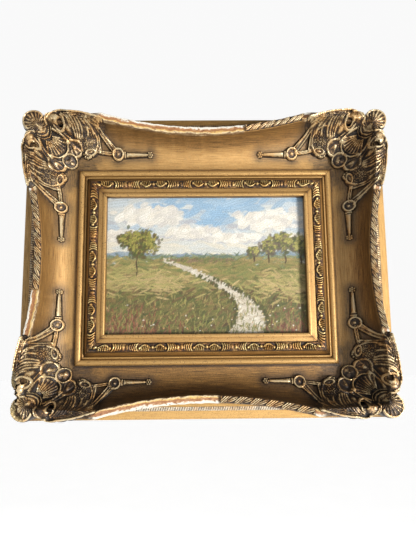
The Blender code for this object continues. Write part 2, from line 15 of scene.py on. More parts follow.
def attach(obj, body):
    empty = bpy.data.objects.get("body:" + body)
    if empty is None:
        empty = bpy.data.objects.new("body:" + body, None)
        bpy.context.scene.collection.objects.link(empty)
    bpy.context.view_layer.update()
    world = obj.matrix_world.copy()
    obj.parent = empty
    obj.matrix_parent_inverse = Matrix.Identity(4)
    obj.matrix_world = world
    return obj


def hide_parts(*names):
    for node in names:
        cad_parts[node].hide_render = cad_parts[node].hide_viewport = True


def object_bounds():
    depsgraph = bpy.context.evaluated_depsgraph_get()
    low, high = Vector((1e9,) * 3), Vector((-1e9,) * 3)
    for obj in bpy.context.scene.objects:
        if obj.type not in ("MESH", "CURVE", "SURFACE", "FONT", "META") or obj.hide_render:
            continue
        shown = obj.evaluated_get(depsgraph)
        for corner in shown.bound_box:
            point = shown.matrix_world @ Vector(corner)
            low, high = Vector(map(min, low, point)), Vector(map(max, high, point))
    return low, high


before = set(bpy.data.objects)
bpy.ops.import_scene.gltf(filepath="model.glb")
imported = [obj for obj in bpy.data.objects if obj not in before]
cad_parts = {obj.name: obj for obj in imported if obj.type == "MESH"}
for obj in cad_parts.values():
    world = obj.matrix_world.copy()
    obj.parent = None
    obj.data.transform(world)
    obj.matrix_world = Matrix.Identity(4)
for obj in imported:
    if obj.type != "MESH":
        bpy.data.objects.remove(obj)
cad_low, cad_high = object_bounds()

# The picture and the slip around it
BOARD_WIDTH = 0.178
BOARD_HEIGHT = 0.127
BOARD_BACK = 0.0087
BOARD_FRONT = 0.0117
LIP_OVERLAP = 0.005
REBATE_SLACK = 0.0005
FIT_GAP = 0.0003
SLIP_WIDTH = 0.0255
SLIP_BACK_HEIGHT = 0.004
LIP_HEIGHT = 0.018
LIP_UNDERSIDE = 0.012
LIP_FILLET_WIDTH = 0.0028
LIP_STEP = 0.0005
PLAIN_EDGE_HEIGHT = 0.0171
BAND_OFFSET = 0.0070
BAND_WIDTH = 0.0070
CHANNEL_HEIGHT = 0.0160
SLOPE_RUN = 0.0034
BEAD_FOOT_HEIGHT = 0.0100
SMALL_BEAD_WIDTH = 0.0020
SMALL_BEAD_RISE = 0.0011
BEAD_HEIGHT = 0.0124
SLIP_STATIONS = 60

# The outer rails
RAIL_WIDTH = 0.0425
SIDE_HEIGHT = 0.019
BEVEL_RUN = 0.0140
BEVEL_TOP_HEIGHT = 0.0265
RIDGE_WIDTH = 0.0064
RIDGE_INSET_MIDDLE = 0.0134
RIDGE_INSET_END = 0.0055
RIDGE_CURVE_RADIUS = 0.344
RIDGE_HEIGHT_MIDDLE = 0.0345
RIDGE_HEIGHT_END = 0.0395
RIDGE_LIP = 0.0012
VALLEY_HEIGHT = 0.0085
VALLEY_FLAT = 0.002
MITRE_GAP = 0.00015
RAIL_STEP = 0.0013
MITRE_STATIONS = 12

# Tone, painted light and wear. Set per side: painted shade on each rail's ridge and cove, a painted highlight
# on its outer side and bevel, and painted shade on the castings. COVE_SHADE is the tone of the cove below the
# ridge, antique toning with painted shade. What lies lower than BACK_EDGE keeps its own tone, SOOT_REACH is
# in casting units, and the fade and the chips are those of the ridge where a strip is lost
RIDGE_COVE_PAINTED_SHADE = {"top": 0.02, "right": 0.08, "bottom": 0.34, "left": 0.05}
COVE_SHADE = {"top": 0.52, "right": 0.54, "bottom": 0.60, "left": 0.62}
SIDE_PAINTED_HIGHLIGHT = {"top": 0.0, "right": 0.22, "bottom": 0.34, "left": 0.04}
CASTING_PAINTED_SHADE = {"top": 0.0, "right": 0.02, "bottom": 0.14, "left": 0.02}
BACK_EDGE = 0.004
SOOT_REACH = 4.2
LOSS_FADE = 0.002
CHIP_DEPTH = 0.00025
CHIP_WAVE = 0.013

# The beading on the outer bevel
BEADING_START = 0.0070
BEADING_WIDTH = 0.0032
BEADING_LEAST = 0.0008
BEADING_PITCH = 0.0019
BEADING_TUCK = 0.004
BEADING_CELL = 0.00028
BEADING_POINTS = 12

# The castings, the leaf strips on the ridge and the band in the slip's channel
WING_LENGTH = 0.066
WING_TIP = 0.0046
OUTER_FALL_RUN = 0.0055
OUTER_FALL_DEPTH = 0.0041
FILL_POWER = 1.5
FILL_END = 0.050
MITRE_ROUNDING = 0.008
PILLOW_RISE = 0.3
CASTING_OVERHANG = 0.0004
CASTING_REACH = 0.1085
CASTING_CELL = 0.0004
# Points on a casting's wall: share of the way down and step outwards
WALL_ROWS = ((0.12, 0.0), (0.4, -0.0002), (0.7, -0.0004))
WALL_CREST = 0.34
TOP_EASING = 0.0015
SINK = 0.0003
STRIP_MARGIN = 0.0003
STRIP_EDGE_HEIGHT = 0.0009
STRIP_LEAF_HEIGHT = 0.0027
STRIP_CELL = 0.00028
STRIP_POINTS = 23
LEAF_PITCH = 0.0118
TOP_STRIP_START = 0.034
BOTTOM_STRIP_START = 0.010
LEFT_STRIP_END = 0.023
BAND_EDGE_HEIGHT = 0.0007
BAND_CREST_HEIGHT = 0.0029
BAND_UNIT = 0.0445
BAND_CELL = 0.0003
BAND_POINTS = 25
ORIGIN_ABOVE_SIGHT = 0.047

SIGHT_WIDTH = BOARD_WIDTH - 2 * LIP_OVERLAP
SIGHT_HEIGHT = BOARD_HEIGHT - 2 * LIP_OVERLAP
FRAME_WIDTH = SIGHT_WIDTH + 2 * (SLIP_WIDTH + FIT_GAP + RAIL_WIDTH)
FRAME_HEIGHT = SIGHT_HEIGHT + 2 * (SLIP_WIDTH + FIT_GAP + RAIL_WIDTH)
CENTRE_DROP = SIGHT_HEIGHT / 2 + ORIGIN_ABOVE_SIGHT
CASTING_UNIT = WING_LENGTH / 66
STRIP_REACH_LONG = FRAME_WIDTH / 2 - WING_LENGTH - WING_TIP
STRIP_REACH_SHORT = FRAME_HEIGHT / 2 - WING_LENGTH - WING_TIP

# Each side: name, quarter turns from the top, outer length, distance from the centre to its outer
# edge, and the span of the ridge that still has its leaf strip
SIDES = (
    ("top", 0, FRAME_WIDTH, FRAME_HEIGHT / 2, (TOP_STRIP_START, STRIP_REACH_LONG)),
    ("right", 1, FRAME_HEIGHT, FRAME_WIDTH / 2, (-STRIP_REACH_SHORT, STRIP_REACH_SHORT)),
    ("bottom", 2, FRAME_WIDTH, FRAME_HEIGHT / 2, (-STRIP_REACH_LONG, -BOTTOM_STRIP_START)),
    ("left", 3, FRAME_HEIGHT, FRAME_WIDTH / 2, (-LEFT_STRIP_END, STRIP_REACH_SHORT)),
)
# Each corner: name, quarter turns, the sign of its x and z, and the two sides that it covers
CORNERS = (
    ("top_left", 0, -1, 1, ("top", "left")),
    ("top_right", 1, 1, 1, ("right", "top")),
    ("bottom_right", 2, 1, -1, ("bottom", "right")),
    ("bottom_left", 3, -1, -1, ("left", "bottom")),
)


# Colours and material nodes

def linear(red, green, blue):
    """A screen colour from 0 to 255 in linear values."""
    shares = [value / 255 for value in (red, green, blue)]
    return tuple(s / 12.92 if s <= 0.04045 else ((s + 0.055) / 1.055) ** 2.4 for s in shares)


class Finish:
    """A node material that is put together step by step."""

    def __init__(self, name):
        self.material = bpy.data.materials.new(name)
        self.material.use_nodes = True
        self.nodes = self.material.node_tree.nodes
        self.links = self.material.node_tree.links
        self.shader = self.nodes["Principled BSDF"]
        self.bumps = None

    def put(self, socket, value):
        if isinstance(value, bpy.types.NodeSocket):
            self.links.new(value, socket)
        elif isinstance(value, tuple):
            socket.default_value = (*value, 1.0)[:len(socket.default_value)]
        else:
            socket.default_value = value

    def node(self, kind, output, inputs, **settings):
        """The named output of a new node with these settings and inputs."""
        made = self.nodes.new("ShaderNode" + kind)
        for name, value in settings.items():
            setattr(made, name, value)
        for name, value in inputs.items():
            self.put(made.inputs[name], value)
        return made.outputs[output]

    def place(self, kind, scale=(1, 1, 1)):
        """Coordinates of the given kind times scale."""
        source = self.node("TexCoord", kind, {})
        return self.node("Mapping", "Vector", {"Vector": source, "Scale": scale})

    def noise(self, vector, scale=1.0, detail=4.0, roughness=0.55):
        inputs = {"Vector": vector, "Scale": scale, "Detail": detail, "Roughness": roughness}
        return self.node("TexNoise", "Fac", inputs)

    def attribute(self, name, output="Fac"):
        return self.node("Attribute", output, {}, attribute_name=name)

    def sums(self, operation, first, second):
        return self.node("Math", 0, {0: first, 1: second}, operation=operation)

    def weighted(self, *terms, start=0.0):
        """start plus weight times (value - middle) for every (value, middle, weight)."""
        total = start
        for value, middle, weight in terms:
            away = self.sums("SUBTRACT", value, middle)
            total = self.sums("ADD", total, self.sums("MULTIPLY", away, weight))
        return total

    def span(self, value, low, high, to_low=0.0, to_high=1.0):
        """value taken smoothly from low..high to to_low..to_high, and held there."""
        inputs = {"Value": value, "From Min": low, "From Max": high, "To Min": to_low, "To Max": to_high}
        return self.node("MapRange", "Result", inputs, interpolation_type="SMOOTHSTEP")

    def ramp(self, factor, stops):
        made = self.nodes.new("ShaderNodeValToRGB")
        self.put(made.inputs["Fac"], factor)
        elements = made.color_ramp.elements
        while len(elements) < len(stops):
            elements.new(0.5)
        for element, (position, colour) in zip(elements, stops):
            element.position = position
            element.color = (*colour, 1.0)
        return made.outputs["Color"]

    def mix(self, factor, first, second, blend="MIX"):
        inputs = {"Factor": factor, "A": first, "B": second}
        return self.node("Mix", "Result", inputs, data_type="RGBA", blend_type=blend)

    def bump(self, height, distance, strength):
        inputs = {"Height": height, "Strength": strength, "Distance": distance}
        if self.bumps:
            inputs["Normal"] = self.bumps
        self.bumps = self.node("Bump", "Normal", inputs)

    def finish(self, colour, roughness, metallic=0.0):
        values = {"Base Color": colour, "Roughness": roughness, "Metallic": metallic}
        if self.bumps:
            values["Normal"] = self.bumps
        for name, value in values.items():
            self.put(self.shader.inputs[name], value)
        return self.material


SURFACE_SHARE = 0.36


def seen(red, green, blue):
    """The surface colour that looks like the given screen colour in the light of this room."""
    return tuple(value * SURFACE_SHARE for value in linear(red, green, blue))


GOLD_LIGHT = seen(232, 184, 112)
GOLD = seen(192, 142, 76)
GOLD_DARK = seen(126, 90, 48)
BROWN = seen(66, 46, 24)
UMBER = seen(34, 24, 16)
SOOT = seen(96, 80, 66)
OLIVE = seen(116, 90, 62)
CREAM_GOLD = seen(246, 222, 176)
GESSO = seen(250, 244, 230)
BOLE = seen(186, 126, 74)
YELLOW_GILT = seen(244, 200, 112)


def rail_finish():
    """Bronze gilding streaked along the rail, dark speckles, soot near the castings with painted shadow on
    the ridge's riser, and bare ground where strips are lost. The tone brings painted light and shade.
    """
    made = Finish("gilt_rail_finish")
    streaks = made.noise(made.place("UV", (60, 1500, 1)))
    broad = made.noise(made.place("UV", (40, 160, 1)), 1.0, 3.0)
    scratches = made.noise(made.place("UV", (60, 2800, 1)), 1.0, 3.0)
    fine = made.noise(made.place("Object"), 900.0, 3.0)
    tone = made.attribute("tone")
    level = made.weighted((streaks, 0.0, 0.75), (broad, 0.0, 0.25), (scratches, 0.5, 1.1), (fine, 0.5, 0.9),
                          (tone, 0.42, 0.9), start=0.02)
    gold = made.ramp(level, ((0.20, BROWN), (0.42, GOLD_DARK), (0.66, GOLD), (0.95, GOLD_LIGHT)))
    ridge = made.attribute("ridge")
    outer = ((0.15, seen(70, 48, 14)), (0.45, seen(158, 110, 26)), (0.90, seen(246, 196, 118)))
    gold = made.mix(made.span(ridge, -0.03, -0.12), gold, made.ramp(level, outer))
    specks = made.sums("MULTIPLY", made.span(fine, 0.50, 0.62), made.span(tone, 0.75, 0.25, 0.30, 0.8))
    gold = made.mix(specks, gold, UMBER)
    # Soot near the castings, and painted shadow on the ridge's riser
    dirt_and_shade = made.sums("MULTIPLY", made.attribute("soot"), made.span(streaks, 0.35, 0.65, 0.45, 1.0))
    gold = made.mix(dirt_and_shade, gold, made.mix(made.span(fine, 0.4, 0.6), SOOT, UMBER))
    patches = made.noise(made.place("UV", (90, 260, 1)))
    flakes = made.noise(made.place("UV", (420, 700, 1)))
    ragged = made.weighted((patches, 0.5, 0.75), (flakes, 0.5, 0.55), start=ridge)
    ground = made.ramp(ragged, (
        (0.0, GESSO), (0.24, GESSO), (0.32, seen(206, 160, 110)), (0.42, BOLE), (0.60, seen(168, 108, 58)),
        (0.72, YELLOW_GILT), (0.86, CREAM_GOLD), (1.0, GOLD_DARK),
    ))
    ground = made.mix(made.span(flakes, 0.55, 0.7), ground, seen(120, 74, 42))
    bare = made.attribute("bare")
    made.bump(streaks, 0.0002, 0.5)
    made.bump(fine, 0.00012, 0.4)
    metal = made.sums("MULTIPLY", made.sums("SUBTRACT", 1.0, bare), 0.5)
    return made.finish(made.mix(bare, gold, ground), made.span(streaks, 0.3, 0.7, 0.60, 0.44), metal)


def slip_finish():
    """Bronze gilding, brighter on the beads and dark in the steps."""
    made = Finish("gilt_slip_finish")
    streaks = made.noise(made.place("UV", (40, 1100, 1)), 1.0, 5.0)
    broad = made.noise(made.place("UV", (20, 160, 1)), 1.0, 3.0)
    fine = made.noise(made.place("Object"), 1100.0, 3.0)
    level = made.weighted((streaks, 0.0, 0.55), (broad, 0.0, 0.45), (made.attribute("tone"), 0.34, 1.05))
    gold = made.ramp(level, ((0.15, BROWN), (0.38, GOLD_DARK), (0.58, GOLD), (0.84, GOLD_LIGHT)))
    gold = made.mix(made.span(fine, 0.56, 0.68, 0.0, 0.75), gold, BROWN)
    made.bump(streaks, 0.00015, 0.4)
    made.bump(fine, 0.0001, 0.3)
    return made.finish(gold, made.span(streaks, 0.3, 0.7, 0.48, 0.32), 0.6)


def relief_finish(name, stops, metallic):
    """Gilt composition: dark in the hollows, rubbed bright on the crests."""
    made = Finish(name)
    fine = made.noise(made.place("Object"), 1100.0)
    patchy = made.noise(made.place("Object"), 210.0, 3.0)
    level = made.weighted((fine, 0.5, 0.9), (patchy, 0.5, 0.9), start=made.attribute("crest"))
    colour = made.ramp(level, stops)
    rubbed = made.span(made.noise(made.place("Object"), 85.0, 3.0), 0.46, 0.60, 0.0, 0.8)
    colour = made.mix(rubbed, colour, made.mix(1.0, colour, (1.12, 0.88, 0.62), "MULTIPLY"))
    raw = made.attribute("raw")
    colour = made.mix(raw, colour, made.mix(patchy, seen(250, 226, 160), seen(170, 138, 88)))
    made.bump(fine, 0.00012, 0.5)
    metal = made.sums("MULTIPLY", made.sums("SUBTRACT", 1.0, raw), metallic)
    return made.finish(colour, made.span(level, 0.2, 0.8, 0.62, 0.36), metal)


def paint_finish():
    """Oil paint: the strokes' colours and relief come with the mesh, bristle marks and weave from here."""
    made = Finish("oil_paint_finish")
    made.shader.inputs["Specular IOR Level"].default_value = 0.3
    paint = made.attribute("paint", "Color")
    bristles = made.noise(made.place("UV", (900, 2200, 1)))
    weave = made.noise(made.place("UV", (2600, 2600, 1)), 1.0, 2.0)
    dark = made.mix(1.0, paint, (0.62, 0.62, 0.62), "MULTIPLY")
    made.bump(bristles, 0.00012, 0.4)
    made.bump(weave, 0.00006, 0.3)
    shade = made.mix(made.span(bristles, 0.35, 0.65), dark, paint)
    return made.finish(shade, made.span(bristles, 0.3, 0.7, 0.58, 0.45))


def wood_finish(name, light, dark, across):
    """Plain wood with grain along U; across is how close the grain lies."""
    made = Finish(name)
    grain = made.noise(made.place("UV", (22, across, 1)), 1.0, 6.0, 0.65)
    stain = made.noise(made.place("Object"), 30.0, 3.0)
    colour = made.ramp(made.weighted((grain, 0.0, 0.7), (stain, 0.0, 0.4)), ((0.35, dark), (0.75, light)))
    made.bump(grain, 0.0002, 0.5)
    return made.finish(colour, made.span(grain, 0.3, 0.7, 0.8, 0.6))


# Meshes

SHARP_EDGE_DEGREES = 48


def make_piece(name, points, faces, materials, slots=None, uv=None, numbers=None, colours=None):
    """A smooth shaded mesh object. slots holds a value for each face, uv, numbers and colours for each
    point."""
    mesh = bpy.data.meshes.new(name)
    mesh.from_pydata(points.tolist(), [], faces)
    for material in materials:
        mesh.materials.append(material)
    if slots is not None:
        mesh.polygons.foreach_set("material_index", np.asarray(slots, dtype=np.int32))
    if uv is not None:
        corners = np.empty(len(mesh.loops), dtype=np.int32)
        mesh.loops.foreach_get("vertex_index", corners)
        layer = mesh.uv_layers.new(name="UVMap")
        layer.data.foreach_set("uv", uv[corners].astype(np.float32).ravel())
    for key, values in (numbers or {}).items():
        layer = mesh.attributes.new(key, "FLOAT", "POINT")
        layer.data.foreach_set("value", values.astype(np.float32))
    for key, values in (colours or {}).items():
        layer = mesh.color_attributes.new(name=key, type="FLOAT_COLOR", domain="POINT")
        full = np.concatenate([values, np.ones((len(values), 1))], axis=1)
        layer.data.foreach_set("color", full.astype(np.float32).ravel())
    mesh.shade_smooth()
    mesh.set_sharp_from_angle(angle=math.radians(SHARP_EDGE_DEGREES))
    item = bpy.data.objects.new(name, mesh)
    bpy.context.scene.collection.objects.link(item)
    return item


def facing_out(points, faces):
    """The faces in the order that makes the enclosed volume positive."""
    a, b, c, d = (points[faces[:, k]] for k in range(4))
    volume = np.einsum("ij,ij->i", a, np.cross(b, c)).sum() + np.einsum("ij,ij->i", a, np.cross(c, d)).sum()
    return faces if volume > 0 else faces[:, ::-1]


def solid_between(top, bottom, used, rows, outward):
    """A closed solid over the used cells of a grid. Its wall has rows of points, each with its share of
    the way down and its step outwards. Gives points, faces, each point's grid index and its level."""
    count = top.shape[0] * top.shape[1]
    index = np.arange(count).reshape(top.shape[:2])
    i, j = np.nonzero(used)
    a, b, c, d = index[i, j], index[i + 1, j], index[i + 1, j + 1], index[i, j + 1]
    padded = np.pad(used, 1)
    edges = []
    for di, dj, first, second in ((0, -1, a, b), (1, 0, b, c), (0, 1, c, d), (-1, 0, d, a)):
        free = ~padded[i + 1 + di, j + 1 + dj]
        edges.append(np.stack([first[free], second[free]], 1))
    first, second = np.concatenate(edges).T
    faces = [np.stack([a, b, c, d], 1)]
    levels = [0, *range(2, 2 + len(rows)), 1]
    for upper, lower in zip(levels, levels[1:]):
        wall = [second + upper * count, first + upper * count, first + lower * count, second + lower * count]
        faces.append(np.stack(wall, 1))
    faces.append(np.stack([d, c, b, a], 1) + count)
    flat_top, flat_bottom = top.reshape(-1, 3), bottom.reshape(-1, 3)
    layers = [flat_top, flat_bottom]
    for share, out in rows:
        layers.append(flat_top + (flat_bottom - flat_top) * share + outward.reshape(-1, 3) * out)
    kept, faces = np.unique(np.concatenate(faces), return_inverse=True)
    points = np.concatenate(layers)[kept]
    return points, facing_out(points, faces.reshape(-1, 4)), kept % count, kept // count


def ribbon(top, bottom):
    """A closed solid under a whole grid that faces the viewer, its flat underside one face wide. Gives
    points, faces, the kind of each face (0 top, 1 the rest) and each point's grid index."""
    rows, columns = top.shape[:2]
    index = np.arange(rows * columns).reshape(rows, columns)
    near = rows * columns + np.arange(rows)
    far = near + rows
    grid = np.stack([index[:-1, :-1], index[1:, :-1], index[1:, 1:], index[:-1, 1:]], -1).reshape(-1, 4)
    rest = np.concatenate([
        np.stack([index[1:, 0], index[:-1, 0], near[:-1], near[1:]], 1),
        np.stack([index[:-1, -1], index[1:, -1], far[1:], far[:-1]], 1),
        np.stack([near[:-1], far[:-1], far[1:], near[1:]], 1),
    ])
    points = np.concatenate([top.reshape(-1, 3), bottom[:, 0], bottom[:, -1]])
    faces = grid.tolist() + rest.tolist()
    faces += [index[0].tolist() + [int(far[0]), int(near[0])]]
    faces += [index[-1][::-1].tolist() + [int(near[-1]), int(far[-1])]]
    first, second, third = (points[grid[:, k]] for k in range(3))
    if np.cross(second - first, third - second)[:, 1].sum() > 0:
        faces = [face[::-1] for face in faces]
    kinds = np.ones(len(faces), dtype=int)
    kinds[:len(grid)] = 0
    return points, faces, kinds, np.concatenate([index.ravel(), index[:, 0], index[:, -1]])


def loft_sections(rings):
    """Points and faces of a closed solid through rings of points, shape (stations, ring points, 3), and
    the place in the ring of each face but the two ends."""
    stations, ring = rings.shape[:2]
    index = np.arange(stations * ring).reshape(stations, ring)
    follow = np.roll(index, -1, axis=1)
    quads = np.stack([index[:-1], follow[:-1], follow[1:], index[1:]], -1).reshape(-1, 4)
    points = rings.reshape(-1, 3)
    outer = facing_out(points, quads)
    caps = [index[0][::-1].tolist(), index[-1].tolist()]
    if not np.array_equal(outer, quads):
        caps = [cap[::-1] for cap in caps]
    return points, outer.tolist() + caps, np.tile(np.arange(ring), stations - 1)


def turned(points, quarter):
    """Points of the top side's own frame, turned to their side and put in the model's frame."""
    c, s = ((1, 0), (0, 1), (-1, 0), (0, -1))[quarter]
    x, y, z = points[..., 0], points[..., 1], points[..., 2]
    return np.stack([c * x + s * z, y, -s * x + c * z - CENTRE_DROP], -1)


def ready(piece, node):
    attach(piece, "root")
    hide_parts(node)


def relief_strip(name, quarter, x, reach, floor, relief, crest, finish):
    """A strip of ornament: relief over floor at x along and reach from the middle of its side's frame."""
    top = np.stack([x, -(floor + relief), reach], -1)
    bottom = np.stack([x, -(floor - SINK), reach], -1)
    points, faces, _, source = ribbon(turned(top, quarter), turned(bottom, quarter))
    numbers = {"crest": crest.ravel()[source], "raw": np.zeros(len(points))}
    return make_piece(name, points, faces, (finish,), numbers=numbers)


def waves(x, seed, size, octaves=4):
    """Smooth repeatable noise of about unit size along x, its longest wave being size."""
    made = np.zeros_like(x)
    for k in range(octaves):
        phase = math.sin(seed * 12.9898 + k * 78.233) * 43758.5453
        made += np.sin(2 * math.pi * x / size * 1.93 ** k + phase) / (k + 1)
    return made / 1.6


def smooth_step(x):
    x = np.clip(x, 0, 1)
    return x * x * (3 - 2 * x)


# The outer rails

def ridge_inset(along, half_length):
    reach = half_length - np.maximum(along, WING_LENGTH)
    arc = RIDGE_INSET_MIDDLE - reach * reach / (2 * RIDGE_CURVE_RADIUS)
    share = np.clip((along - RIDGE_INSET_END) / (WING_LENGTH - RIDGE_INSET_END), 0, 1)
    return RIDGE_INSET_END + (arc - RIDGE_INSET_END) * share


def ridge_height(along, half_length):
    reach = np.clip((half_length - along) / (half_length - WING_LENGTH), 0, 1)
    return RIDGE_HEIGHT_MIDDLE + (RIDGE_HEIGHT_END - RIDGE_HEIGHT_MIDDLE) * reach * reach


def bevel_height(inset):
    return SIDE_HEIGHT + (BEVEL_TOP_HEIGHT - SIDE_HEIGHT) * np.minimum(inset / BEVEL_RUN, 1)


def cove_height(across, cove_start, cove_top, power=2.0):
    run = RAIL_WIDTH - VALLEY_FLAT - cove_start
    share = np.clip((across - cove_start) / run, 0, 1)
    return cove_top - (cove_top - VALLEY_HEIGHT) * (1 - (1 - share) ** power) ** (1 / power)


def rail_surface(along, across, half_length):
    """Height of the rail's front at a distance along and across."""
    inset = ridge_inset(along, half_length)
    top = ridge_height(along, half_length)
    foot = bevel_height(inset)
    bevel = SIDE_HEIGHT + (foot - SIDE_HEIGHT) * np.clip(across / inset, 0, 1)
    cove = cove_height(across, inset + RIDGE_WIDTH, top - RIDGE_LIP)
    return np.where(across < inset, bevel, np.where(across < inset + RIDGE_WIDTH, top, cove))


COVE_POINTS = 26
RIDGE_POINTS = 9


def rail_ring(inset, top, worn, shade):
    """(across, height, tone) points of a rail's section. worn lowers the ridge, shade is the tone below it on
    the picture's side, where antique toning and painted shade darken the cove."""
    foot = bevel_height(inset)
    slope = (foot - SIDE_HEIGHT) / inset
    points = [(0.0, 0.0, 0.3), (0.0, 0.3 * SIDE_HEIGHT, 0.55), (0.0, 0.8 * SIDE_HEIGHT, 0.6)]
    points += [(0.0, SIDE_HEIGHT - 0.0009, 0.7), (0.0003, SIDE_HEIGHT - 0.0002, 0.9)]
    for share in (0.1, 0.3, 0.5, 0.7, 0.9):
        points.append((inset * share, SIDE_HEIGHT + slope * inset * share, 0.62 - 0.2 * share))
    # Painted shadow in the crease at the ridge's foot and up its riser
    points.append((inset - 0.0007, foot + 0.0001, 0.35))
    points.append((inset - 0.0003, foot + 0.0005, 1.3))
    for share in (0.15, 0.5, 0.85):
        points.append((inset, foot + (top - 0.0008 - foot) * share, 0.35 + 0.3 * share))
    points.append((inset + 0.0001, top - 0.0004, 0.8))
    for k in range(RIDGE_POINTS):
        share = 0.06 + 0.88 * k / (RIDGE_POINTS - 1)
        points.append((inset + RIDGE_WIDTH * share, top - worn * math.sin(math.pi * share), 0.6))
    cove_start = inset + RIDGE_WIDTH
    points.append((cove_start - 0.0001, top - 0.0003, 0.8))
    run = RAIL_WIDTH - VALLEY_FLAT - cove_start
    for k in range(COVE_POINTS):
        angle = math.pi / 2 * k / (COVE_POINTS - 1)
        across = RAIL_WIDTH - VALLEY_FLAT - run * math.cos(angle)
        height = top - RIDGE_LIP - (top - RIDGE_LIP - VALLEY_HEIGHT) * math.sin(angle)
        # The cove darkens from the valley up to the ridge: antique toning and painted shade
        share = k / (COVE_POINTS - 1)
        bright = float(smooth_step(np.float64((share - 0.30) / 0.45)))
        points.append((across, height, shade + (0.84 - shade) * bright))
    points.append((RAIL_WIDTH - 0.5 * VALLEY_FLAT, VALLEY_HEIGHT, 0.5))
    points.append((RAIL_WIDTH + FIT_GAP * 0.9, VALLEY_HEIGHT, 0.35))
    points.append((RAIL_WIDTH + FIT_GAP * 0.9, 0.0, 0.3))
    return points


def rail_piece(side, quarter, length, reach, span, gilt, wood):
    half = length / 2
    low, high = span
    middle = np.linspace(WING_LENGTH, half, int((half - WING_LENGTH) / RAIL_STEP))
    ends = np.linspace(0, 1, MITRE_STATIONS)[:-1]
    rings, tones, ridges, bares, riser_shadow, spots, uv = [], [], [], [], [], [], []
    places = [(-1, t, None) for t in ends] + [(-1, None, a) for a in middle]
    places += [(1, None, a) for a in middle[::-1][1:]] + [(1, t, None) for t in ends[::-1]]
    for sign, t, along in places:
        mitred = along is None
        along = WING_LENGTH * t if mitred else float(along)
        x = sign * (half - along)
        lost = 0.0
        if not mitred:
            beyond = np.array([low - x, x - high]) / LOSS_FADE
            lost = float(smooth_step(beyond).sum())
        chips = CHIP_DEPTH * lost * float(waves(np.float64(x), quarter + 1, CHIP_WAVE))
        inset = float(ridge_inset(along, half)) + chips
        foot = float(bevel_height(inset))
        ring = rail_ring(inset, float(ridge_height(along, half)), chips + 0.0001, COVE_SHADE[side])
        section = []
        walked = [0.0]
        for (a0, h0, _), (a1, h1, _) in zip(ring, ring[1:]):
            walked.append(walked[-1] + math.hypot(a1 - a0, h1 - h0))
        for way, (across, height, tone) in zip(walked, ring):
            at = half - along
            if mitred:
                at = (half - across - MITRE_GAP) * (1 - t) + (half - WING_LENGTH) * t
            section.append((sign * at, -height, reach - across))
            # Painted highlight on the outer side and bevel, painted shade on the ridge and cove, set per side
            painted_light = SIDE_PAINTED_HIGHLIGHT[side] if across < inset - 0.0001 else -RIDGE_COVE_PAINTED_SHADE[side]
            tones.append(tone + painted_light * (height > BACK_EDGE))
            place = (across - inset) / RIDGE_WIDTH
            ridges.append(min(max(place, -0.3), 1.3))
            bares.append(lost if -0.02 < place < 1.02 and height > foot + 0.004 else 0.0)
            # Painted shadow on the ridge's outer riser, carried with the soot
            riser_shadow.append(0.8 if abs(place) < 0.01 and height > foot + 0.001 else 0.0)
            spots.append((along, across if height > BACK_EDGE else -0.05))
            in_cove = across > inset + RIDGE_WIDTH - 0.00005
            uv.append((x, way - walked[-1] - 0.1 if in_cove else way))
        rings.append(section)
    points, faces, segments = loft_sections(turned(np.array(rings), quarter))
    slots = [int(k >= len(ring) - 2) for k in segments] + [1, 1]
    p, q = (np.array(spots) / CASTING_UNIT).T
    away = np.clip(outline_distance(np.maximum(p, q), q), 0, None)
    # Soot near the castings, and painted shadow on the ridge's riser
    soot = np.maximum(0.9 * np.exp(-(away / SOOT_REACH) ** 2), np.array(riser_shadow))
    numbers = {"tone": np.array(tones), "ridge": np.array(ridges), "bare": np.array(bares), "soot": soot}
    piece = make_piece("ornate_rail_" + side, points, faces, (gilt, wood), slots, np.array(uv), numbers)
    ready(piece, "rail_" + side)


def beading_piece(side, quarter, length, reach, finish):
    """The fine strip of slanted beads on the bevel, where the ridge leaves room for it."""
    half = length / 2
    end = half - WING_LENGTH + BEADING_TUCK
    x = np.linspace(-end, end, int(2 * end / BEADING_CELL))
    x, v = np.meshgrid(x, np.linspace(0, 1, BEADING_POINTS), indexing="ij")
    along = half - np.abs(x)
    width = np.minimum(BEADING_WIDTH, ridge_inset(along, half) - BEADING_START - 0.0001)
    wide = width[:, 0] > BEADING_LEAST
    x, v, along, width = x[wide], v[wide], along[wide], width[wide]
    across = BEADING_START + width * v
    beads = np.abs(np.sin(math.pi * (x / BEADING_PITCH + 0.5 * v))) ** 0.6
    relief = 0.0002 + 0.0008 * beads * np.clip(np.sin(math.pi * v), 0, 1) ** 0.5
    floor = rail_surface(along, across, half)
    crest = 0.25 + 0.45 * beads
    piece = relief_strip("beading_" + side, quarter, x, reach - across, floor, relief, crest, finish)
    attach(piece, "root")


# The slip

def arc_points(first, last, height, rise, tone_low, tone_high, count):
    """A round bead between two distances outwards from the sight edge."""
    middle, radius = (first + last) / 2, (last - first) / 2
    points = []
    for k in range(1, count):
        share = -math.cos(math.pi * k / count)
        up = math.sqrt(1 - share * share)
        points.append((middle + radius * share, height + rise * up, tone_low + (tone_high - tone_low) * up))
    return points


